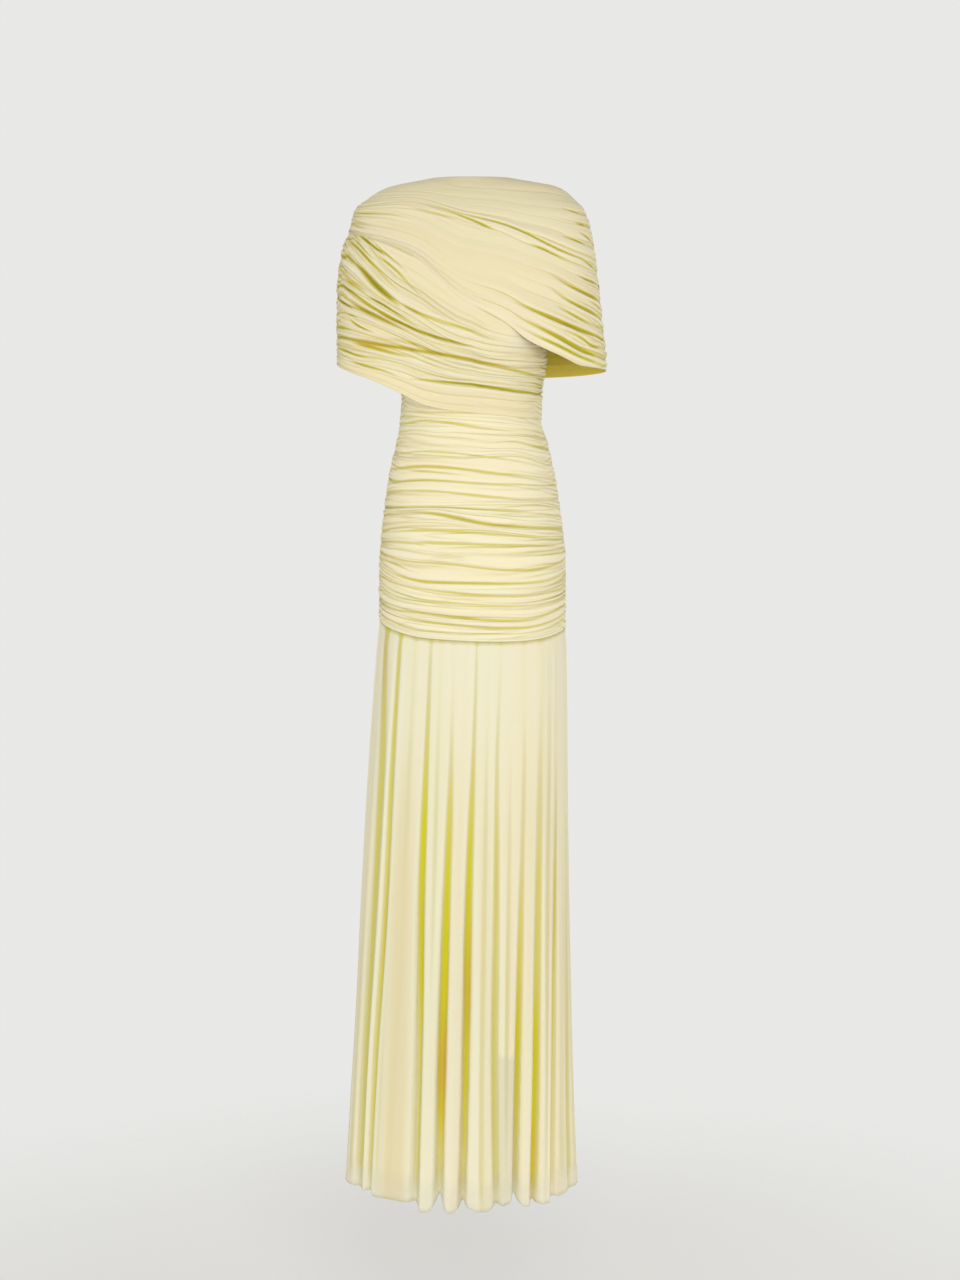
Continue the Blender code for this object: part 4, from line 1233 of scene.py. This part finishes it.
class MakeUpperWrap(bpy.types.Operator):
    """Lays the upper wrap, from the left shoulder seam to the right outer-arm seam"""

    bl_idname = "gown.upper_wrap"
    bl_label = "Upper wrap"

    def execute(self, context):
        sizes, colours = gown_settings(context)
        folds = Folds("upper_wrap", UPPER_WRAP_GATHERS, UPPER_WRAP_TROUGHS, UPPER_WRAP_SHADES, sizes)
        across, drop = folds.across, folds.drop
        # drawn smooth over the bust
        sideways = (across - BUST_PLACE) / BUST_HALF_WIDTH
        down = (drop - mix(*BUST_DROPS, across)) / BUST_HALF_HEIGHT
        calm = 1.0 - BUST_SMOOTH * bell(sideways * sideways + down * down, 1.5)
        folds.settle(calm)
        # single cloth at the neck and at the right seam, on the lower wrap between them
        layered = beyond(drop, NECK_SINGLE, NECK_EASE) * smooth_step((1.0 - across) / RIGHT_EASE)
        base = mix(SINGLE_BASE, UPPER_BASE, layered)
        # its edge is held down on the lower wrap, most of all where the wraps cross
        to_edge = edge_drop(UPPER_WRAP_EDGE, across) - drop
        held = near(to_edge, HELD_REACH) * smooth_step((HELD_TO - across) / HELD_EASE)
        base = mix(base, HELD_BASE, held)
        base = base - DIP_DEPTH * bell((across - DIP_PLACE) / DIP_HALF_WIDTH) * near(to_edge, DIP_REACH)
        folds.height *= 1.0 - HELD_FLAT * held
        # painted light: its held edge is painted paler
        folds.tint -= HELD_PALE * held
        roll = near(to_edge, ROLL_REACH) * smooth_step((ROLL_TO - across) / HELD_EASE)
        folds.height = mix(folds.height, ROLL_HEIGHT, ROLL_SHARE * roll)
        folds.lay(base, calm, drape_materials(sizes, colours))
        return {"FINISHED"}


PRESSED_FROM = 0.34        # from here across, the lower wrap's edge is held down on the body
PRESSED_EASE = 0.12
PRESSED_REACH = 0.030
PRESSED_FLAT = 0.5
WAIST_FROM = 0.88          # from here across, it lies on the body at the waist
WAIST_EASE = 0.12
RAISED_HEIGHT = 0.016      # half-height of its rise along the upper wrap's edge
RAISED_TO = 0.60
RAISED_EASE = 0.14
RAISED_LEFT = 0.0010
RAISED_MIDDLE = 0.0022
MIDDLE_FROM = 0.34
MIDDLE_EASE = 0.08
SWELL_PLACE = 0.66         # where it swells out, under the place where the wraps cross
SWELL_DROP = 0.236
SWELL_HALF_WIDTH = 0.10
SWELL_HALF_HEIGHT = 0.024
SWELL_HEIGHT = 0.0062


class MakeLowerWrap(bpy.types.Operator):
    """Lays the lower wrap, from the left outer-arm seam to the right side seam"""

    bl_idname = "gown.lower_wrap"
    bl_label = "Lower wrap"

    def execute(self, context):
        sizes, colours = gown_settings(context)
        folds = Folds("lower_wrap", LOWER_WRAP_GATHERS, LOWER_WRAP_TROUGHS, LOWER_WRAP_SHADES, sizes)
        across, drop = folds.across, folds.drop
        # flat under the upper wrap, and held down on the body along its own edge
        covered = edge_drop(LOWER_WRAP_TOP, across) + TUCKED_UNDER
        calm = beyond(drop, covered, WRAP_EASE)
        to_edge = edge_drop(LOWER_WRAP_EDGE, across) - drop
        pressed = near(to_edge, PRESSED_REACH) * beyond(across, PRESSED_FROM, PRESSED_EASE)
        folds.settle(calm * (1.0 - PRESSED_FLAT * pressed))
        base = mix(LOWER_BASE, ON_BODY, beyond(across, WAIST_FROM, WAIST_EASE))
        base = mix(base, ON_BODY, pressed)
        # raised along the upper wrap's edge, and where the wraps cross
        raised = mix(RAISED_LEFT, RAISED_MIDDLE, beyond(across, MIDDLE_FROM, MIDDLE_EASE))
        raised = raised * bell((drop - covered) / RAISED_HEIGHT)
        swell = bell((across - SWELL_PLACE) / SWELL_HALF_WIDTH)
        swell = swell * bell((drop - SWELL_DROP) / SWELL_HALF_HEIGHT)
        base = base + raised * smooth_step((RAISED_TO - across) / RAISED_EASE) + SWELL_HEIGHT * swell
        folds.lay(base, calm, drape_materials(sizes, colours))
        return {"FINISHED"}


class MakeBackDrape(bpy.types.Operator):
    """Lays the back of the drape, gathered into both outer-arm seams"""

    bl_idname = "gown.back_drape"
    bl_label = "Back drape"

    def execute(self, context):
        sizes, colours = gown_settings(context)
        folds = Folds("back_drape", BACK_DRAPE_GATHERS, BACK_DRAPE_TROUGHS, BACK_DRAPE_SHADES, sizes)
        folds.settle(1.0)
        base = mix(SINGLE_BASE, LOWER_BASE, beyond(folds.drop, NECK_SINGLE, NECK_EASE))
        folds.lay(base, 1.0, drape_materials(sizes, colours))
        return {"FINISHED"}


def back_body_gathers():
    """The creases of the body's back, sagging between the seams."""
    creases = BODY_FRONT_GATHERS
    last = len(creases) - 1
    first = next(index for index, crease in enumerate(creases) if crease.right > crease.left)
    reach = creases[last].left - BACK_SAG_FROM
    back = list(creases[:first] + BACK_TOP_GATHERS)
    for index in range(first, last + 1):
        left, right = creases[index].left, creases[index].right
        sag = mix(BACK_SAG_WAIST, BACK_SAG_HIP, beyond(left, BACK_SAG_FROM, reach))
        wander = BACK_UNEVEN * math.sin(BACK_WANDER_STEP * index) * (index < last)
        back.append(creases[index]._replace(
            near=mix(left, right, LINE_PLACES[1]) + BACK_SAG_NEAR * sag,
            inner=mix(left, right, LINE_PLACES[2]) + sag + wander,
            far=mix(left, right, LINE_PLACES[3]) + sag - wander,
        ))
    return back


COVERED_LEFT = 0.290       # drop down to which the body's front lies flat under the wraps
COVERED_RIGHT = 0.338
COVERED_FROM = 0.04
COVERED_SPAN = 0.12
COVERED_BACK = 0.262
COVERED_EASE = 0.016


class MakeBody(bpy.types.Operator):
    """Lays the ruched front and back of the body, down to the hip seam"""

    bl_idname = "gown.body"
    bl_label = "Body"

    def execute(self, context):
        sizes, colours = gown_settings(context)
        # the body's inner face: painted shade, half way between the drape's shaded inner colour and the lit
        # cloth
        inner = [mix(first, second, 0.5) for first, second in zip(colours.inside, colours.lit)]
        materials = (
            cloth_material("body_cloth", colours.lit, colours, sizes, BODY_LOOK),
            plain_cloth("body_inside", inner, 0.9, 14.0, 0.82),
        )
        for name, creases, placed in (
            ("body_front", BODY_FRONT_GATHERS, BODY_FRONT_TROUGHS),
            ("body_back", back_body_gathers(), BODY_BACK_TROUGHS),
        ):
            folds = Folds(name, creases, placed, BODY_SHADES, sizes)
            covered = mix(COVERED_LEFT, COVERED_RIGHT, beyond(folds.across, COVERED_FROM, COVERED_SPAN))
            if folds.form.side == BACK:
                covered = COVERED_BACK
            shown = beyond(folds.drop, covered, COVERED_EASE)
            folds.settle(shown)
            folds.lay(np.full_like(folds.height, BODY_BASE), shown, materials)
        return {"FINISHED"}


GROOVE_SHARE = 0.46        # how much of the frame's groove depth the finished cloth shows
SLOT_WIDTH = 1.5           # a groove's opening, in half-widths of its tint
HOLLOW_WIDTH = 0.013       # half-width of the soft hollow on both sides of a groove
SLOT_SHARE = 0.80          # how much of its depth is in the opening
GROOVE_LENGTH = 0.46       # height over which a groove grows to its full share
GROOVE_FIRST = 0.08        # and how much of it there is at its start
TOP_GATHER = 0.0016        # how deep a dark groove begins under the hip seam
# painted shade beside a groove, and the length of its amber painted light
HALO_SHARE = 0.22          # the faint tint on both sides of a groove
HALO_WIDTH = 2.2
AMBER_LENGTH = 0.068       # half-length of a groove's amber stretch
LIP_HEIGHT = 0.0007        # raised lips beside a groove
LIP_PLACE = 2.4            # where they are, in its half-widths
LIP_WIDTH = 0.8
BACK_HEM = HEM_DROP - 0.004
BACK_HEM_RISE = 0.003      # how much higher the back's hem is in the middle
HEM_RISE_WIDTH = 0.011     # half-width of the hem's rise at a groove of the back
SWELLS = 22                # number of faint, broad waves between the grooves
SANDY_FROM = 0.78          # drop where the sandy bands begin
SANDY_EASE = 0.30
# painted shade in hollows and a painted highlight on raised parts, from the depth of the hollow
HOLLOW_DEPTH = 0.0030      # depth that colours a hollow, and the least and most that it does
HOLLOW_TINTS = (-0.30, 0.16)
PALE_TOP = 0.98            # above this drop the skirt is paler
PALE_EASE = 0.26
PALE_TINT = 0.20
WARM_FROM = 0.95           # and below this one deeper in colour
WARM_EASE = 0.25
WARM_TINT = 0.10
HEM_REACH = 0.050          # height of the pale, see-through hem
HEM_EASE = 0.046
HEM_TINT = 0.24
SEAM_SHADOW = 0.0022       # height of the shadow under the hip seam
SEAM_TINT = 0.55
SHEER = 0.14               # how sheer the skirt is, and how much more at the lining's gap and the hem
SHEER_GAP = 0.10
SHEER_HEM = 0.64
GAP_PLACE = 0.614          # where the lining is open, across, and the half-width of the gap
GAP_WIDTH = 0.034
# Pale, sandy bands of several layers: place across, half-width and strength
SANDY_BANDS = (
    (0.290, 0.040, 0.85),
    (0.462, 0.016, 0.35),
    (0.545, 0.022, 0.45),
    (0.790, 0.022, 0.35),
    (0.626, 0.012, 0.30),
)


def groove_depth(groove, drop):
    """How deep a groove is at a drop: quickly deep below its start, and deepest at the hem."""
    share = np.clip((drop - groove.start) / (HEM_DROP - groove.start), 0.0, 1.0)
    return groove.depth * (1.0 - (1.0 - share) ** 2)


def hanging_grid(name):
    """A hanging piece's places across, its shares down and the drop of the hip seam above it."""
    columns, rows = GRIDS[name]
    across = np.broadcast_to(np.linspace(0.0, 1.0, columns + 1), (rows + 1, columns + 1))
    creases = BODY_FRONT_GATHERS if PIECES[name].side == FRONT else back_body_gathers()
    top = smooth_curve(LINE_PLACES, creases[-1][:5], across)
    return across, np.linspace(0.0, 1.0, rows + 1)[:, None], top


def back_hem(across):
    """The hem of the skirt's back, which rises a little at each groove."""
    hem = BACK_HEM - BACK_HEM_RISE * np.sin(math.pi * across) ** 2
    for groove in BACK_GROOVES:
        rise = 0.004 + 0.011 * groove.tints[4]
        hem = hem - rise * bell((across - groove.places[-1]) / HEM_RISE_WIDTH, 1.2)
    return hem


def groove_relief(form, pleats, across, drop, top):
    """How far the skirt's grooves lie in, and how strongly they are tinted with painted shade and turn amber
    with painted light through the layers.
    """
    inset, tint, amber = (np.zeros_like(drop) for _ in range(3))
    stretch = form.stretch_across(across, drop)
    for groove in pleats:
        away = (across - smooth_curve(PLACE_DROPS, groove.places, drop)) * stretch
        width = groove.half_width * smooth_curve(TINT_DROPS, groove.widths, drop)
        strong = smooth_curve(TINT_DROPS, groove.tints, drop)
        grown = mix(GROOVE_FIRST, 1.0, beyond(drop, groove.start, GROOVE_LENGTH) ** 1.6)
        deep = GROOVE_SHARE * grown * groove_depth(groove, drop)
        deep = deep + TOP_GATHER * groove.tints[0] * beyond(drop, top, 0.04)
        slot = bell(away / (SLOT_WIDTH * groove.half_width), 2.6)
        inset = np.maximum(inset, deep * mix(bell(away / HOLLOW_WIDTH), slot, SLOT_SHARE))
        lips = bell((np.abs(away) / groove.half_width - LIP_PLACE) / LIP_WIDTH)
        inset -= LIP_HEIGHT * lips * beyond(drop, top, 0.05)
        tint = np.maximum(tint, strong * bell(away / width, 3))
        tint = np.maximum(tint, HALO_SHARE * strong * bell(away / (HALO_WIDTH * width)))
        warm = bell((drop - groove.amber_at) / AMBER_LENGTH) * bell((away - 0.25 * width) / width)
        amber = np.maximum(amber, groove.amber * warm)
    return inset, tint, amber


def faint_swell(across, drop, seed):
    """Faint, broad waves that hang between the grooves."""
    random = np.random.default_rng(seed)
    swell = np.zeros_like(drop)
    for _ in range(SWELLS):
        centre = random.uniform(0.03, 0.97)
        width = random.uniform(0.008, 0.026)
        lean = random.uniform(-0.02, 0.02) * (drop - 0.9)
        swell += random.uniform(-0.0010, 0.0012) * bell((across - centre - lean) / width)
    return swell


class MakeSkirt(bpy.types.Operator):
    """Hangs the sheer outer skirt, front and back, from the hip seam"""

    bl_idname = "gown.skirt"
    bl_label = "Skirt"

    def execute(self, context):
        sizes, colours = gown_settings(context)
        material = cloth_material("skirt_cloth", colours.skirt_lit, colours, sizes, SKIRT_LOOK)
        for name, pleats, seed in (("skirt_front", FRONT_GROOVES, 61), ("skirt_back", BACK_GROOVES, 67)):
            form = WornForm(name)
            across, share, top = hanging_grid(name)
            hem = edge_drop(FRONT_HEM, across) if form.side == FRONT else back_hem(across)
            drop = mix(top, hem, share)
            inset, tint, amber = groove_relief(form, pleats, across, drop, top)
            out = BODY_BASE - inset + faint_swell(across, drop, seed) * beyond(drop, top, 0.03)
            near_hem = beyond(drop, hem - HEM_REACH, HEM_EASE)
            # paler towards the top and at the hem, with painted shade in hollows, a painted highlight on
            # raised parts and a painted shadow under the hip seam
            crease = np.clip((soften(out, 24, 1) - out) / HOLLOW_DEPTH, *HOLLOW_TINTS)
            crease = crease + tint * (1.0 - 0.35 * near_hem) - HEM_TINT * near_hem
            crease = crease - PALE_TINT * smooth_step((PALE_TOP - drop) / PALE_EASE)
            crease = crease + WARM_TINT * beyond(drop, WARM_FROM, WARM_EASE)
            crease = crease + SEAM_TINT * bell((drop - top) / SEAM_SHADOW)
            sandy = sum(strong * bell((across - place) / width, 4) for place, width, strong in SANDY_BANDS)
            sandy = sandy * beyond(drop, SANDY_FROM, SANDY_EASE) * (1.0 - 0.9 * np.clip(tint, 0.0, 1.0))
            # painted shade where the lining is open, as the shaded far side shows through; the skirt is also
            # more sheer there
            bare = beyond(drop, edge_drop(LINING_HEM, across), 0.003)
            bare *= bell((across - GAP_PLACE) / GAP_WIDTH, 6)
            attributes = {
                "crease": crease,
                "amber": amber,
                "bare": 0.4 * bare,
                "sandy": sandy,
                "sheer": SHEER + SHEER_GAP * bare + SHEER_HEM * near_hem,
                "flow_along": drop,
                "flow_across": across * 0.42,
            }
            cloth_piece(name, form.outset(across, drop, out), attributes, (material,), sizes.cloth_wall)
        return {"FINISHED"}


LINING_CLEAR = 0.10        # how much further down the skirt's grooves are that it keeps clear of
LINING_SETTLE = 0.03       # share of its height over which it comes clear of the hip seam


class MakeLining(bpy.types.Operator):
    """Hangs the shorter under-skirt, front and back"""

    bl_idname = "gown.lining"
    bl_label = "Lining"

    def execute(self, context):
        sizes, colours = gown_settings(context)
        material = plain_cloth("lining_cloth", colours.lining, 0.92, 11.0, 0.8, sizes.knit_pitch)
        for name in ("lining_front", "lining_back"):
            across, share, top = hanging_grid(name)
            drop = mix(top, edge_drop(LINING_HEM, across), share)
            # clear of the deepest groove that the skirt has a little further down
            below = drop + LINING_CLEAR
            depths = [groove_depth(groove, below) for groove in FRONT_GROOVES + BACK_GROOVES]
            clear = smooth_step(share / LINING_SETTLE)
            out = mix(LINING_TOP, LINING_BASE - np.max(depths, axis=0), clear)
            points = WornForm(name).outset(across, drop, out)
            cloth_piece(name, points, {}, (material,), sizes.cloth_wall)
        return {"FINISHED"}


CAMERA_PLACE = (0.012, -3.2, -0.405)
CAMERA_LENS = 60.0         # millimetres, on a sensor 36 mm high
CAMERA_SENSOR = 36.0
CAMERA_SHIFT = -0.1484
FLOOR_HEIGHT = -1.74
FLOOR_RADIUS = 1.6
SURROUND = (0.81, 0.81, 0.795)
SOFT_AIR = (1.0, 0.99, 0.97)
Lamp = namedtuple("Lamp", "name place target size power")
LAMPS = (
    Lamp("key", (0.45, -3.3, 0.12), (0.0, 0.0, -0.60), 1.8, 50.0),
    Lamp("fill", (-1.5, -2.6, -0.5), (0.0, 0.0, -0.70), 2.0, 22.0),
    Lamp("right", (2.6, -0.5, -1.2), (0.0, 0.0, -1.10), 1.6, 18.0),
    Lamp("left", (-2.6, -0.5, -1.1), (0.0, 0.0, -1.00), 1.6, 9.0),
    Lamp("back_key", (-0.8, 3.2, 0.15), (0.0, 0.0, -0.60), 1.8, 42.0),
    Lamp("back_fill", (1.4, 2.7, -0.5), (0.0, 0.0, -0.70), 2.0, 22.0),
)


def add_object(scene, name, data):
    """Adds an object to the scene."""
    added = bpy.data.objects.new(name, data)
    scene.collection.objects.link(added)
    return added


def area_light(scene, lamp):
    """A soft square lamp that faces a point."""
    data = bpy.data.lights.new(lamp.name, "AREA")
    data.shape = "SQUARE"
    data.size = lamp.size
    data.energy = lamp.power
    light = add_object(scene, lamp.name, data)
    light.location = lamp.place
    aim = Vector(lamp.target) - Vector(lamp.place)
    light.rotation_euler = aim.to_track_quat("-Z", "Y").to_euler()
    light.visible_camera = False


def studio_paper(colour):
    """The floor's paper, which fades into the air, so no edge shows."""
    paint = Paint(bpy.data.materials.new("studio_paper"))
    flat = paint.node(
        "ShaderNodeVectorMath", {"operation": "MULTIPLY"}, {0: paint.worn_place(), 1: (1.0, 1.0, 0.0)}
    )
    away = paint.node("ShaderNodeVectorMath", {"operation": "LENGTH"}, {0: flat}, output="Value")
    reach = {"From Min": 0.3 * FLOOR_RADIUS, "From Max": 0.97 * FLOOR_RADIUS, "To Min": 1.0, "To Max": 0.0}
    cover = paint.node(
        "ShaderNodeMapRange", {"interpolation_type": "SMOOTHSTEP"}, {"Value": away, **reach}
    )
    return paint.surface(
        {"Base Color": rgba(colour), "Roughness": 0.9, "Specular IOR Level": 0.1, "Alpha": cover}
    )


def studio_air():
    """Soft light from all round, and the pale surround that the camera sees."""
    air = Paint(bpy.data.worlds.new("studio_air"))
    soft = air.node("ShaderNodeBackground", None, {"Color": rgba(SOFT_AIR), "Strength": 0.46})
    seen = air.node("ShaderNodeBackground", None, {"Color": rgba(SURROUND), "Strength": 1.0})
    direct = air.node("ShaderNodeLightPath", output="Is Camera Ray")
    surround = air.node("ShaderNodeMixShader", None, {0: direct, 1: soft, 2: seen})
    air.node("ShaderNodeOutputWorld", None, {"Surface": surround})
    return air.owner


class MakeStage(bpy.types.Operator):
    """Sets up the pale floor, the soft lamps and the camera"""

    bl_idname = "gown.stage"
    bl_label = "Studio"

    def execute(self, context):
        scene = context.scene
        floor = bmesh.new()
        bmesh.ops.create_circle(floor, cap_ends=True, radius=FLOOR_RADIUS, segments=96)
        bmesh.ops.translate(floor, verts=floor.verts, vec=(0.0, 0.0, FLOOR_HEIGHT))
        mesh = bpy.data.meshes.new("studio_floor")
        floor.to_mesh(mesh)
        floor.free()
        mesh.materials.append(studio_paper(scene.gown_colours.studio))
        paper = add_object(scene, "studio_floor", mesh)
        scene.world = studio_air()
        for lamp in LAMPS:
            area_light(scene, lamp)
        data = bpy.data.cameras.new("photo_camera")
        data.sensor_fit = "VERTICAL"
        data.sensor_height = CAMERA_SENSOR
        data.lens = CAMERA_LENS
        data.shift_y = CAMERA_SHIFT
        camera = add_object(scene, "photo_camera", data)
        camera.location = CAMERA_PLACE
        camera.rotation_euler = (0.5 * math.pi, 0.0, 0.0)
        scene.camera = camera
        scene.view_settings.view_transform = "Standard"
        return {"FINISHED"}


class GownPanel(bpy.types.Panel):
    """The gown's sizes, colours and pieces"""

    bl_idname = "VIEW3D_PT_gown"
    bl_label = "Draped wrap gown"
    bl_space_type = "VIEW_3D"
    bl_region_type = "UI"
    bl_category = "Gown"

    def draw(self, context):
        for group in gown_settings(context):
            box = self.layout.box()
            for name in group.__annotations__:
                box.prop(group, name)
        for maker in MAKERS:
            self.layout.operator(maker.bl_idname)


MAKERS = (
    MakeUpperWrap, MakeLowerWrap, MakeBackDrape, MakeBody, MakeSkirt, MakeLining, MakeStage
)
CLASSES = (GownSizes, GownColours, *MAKERS, GownPanel)


def register():
    """Adds the gown's classes and settings."""
    for item in CLASSES:
        bpy.utils.register_class(item)
    bpy.types.Scene.gown_sizes = PointerProperty(type=GownSizes)
    bpy.types.Scene.gown_colours = PointerProperty(type=GownColours)


def unregister():
    """Removes them again."""
    del bpy.types.Scene.gown_colours
    del bpy.types.Scene.gown_sizes
    for item in reversed(CLASSES):
        bpy.utils.unregister_class(item)


def main():
    """Makes every piece and the stage."""
    register()
    bpy.ops.gown.upper_wrap()
    bpy.ops.gown.lower_wrap()
    bpy.ops.gown.back_drape()
    bpy.ops.gown.body()
    bpy.ops.gown.skirt()
    bpy.ops.gown.lining()
    bpy.ops.gown.stage()


if __name__ == "__main__":
    main()
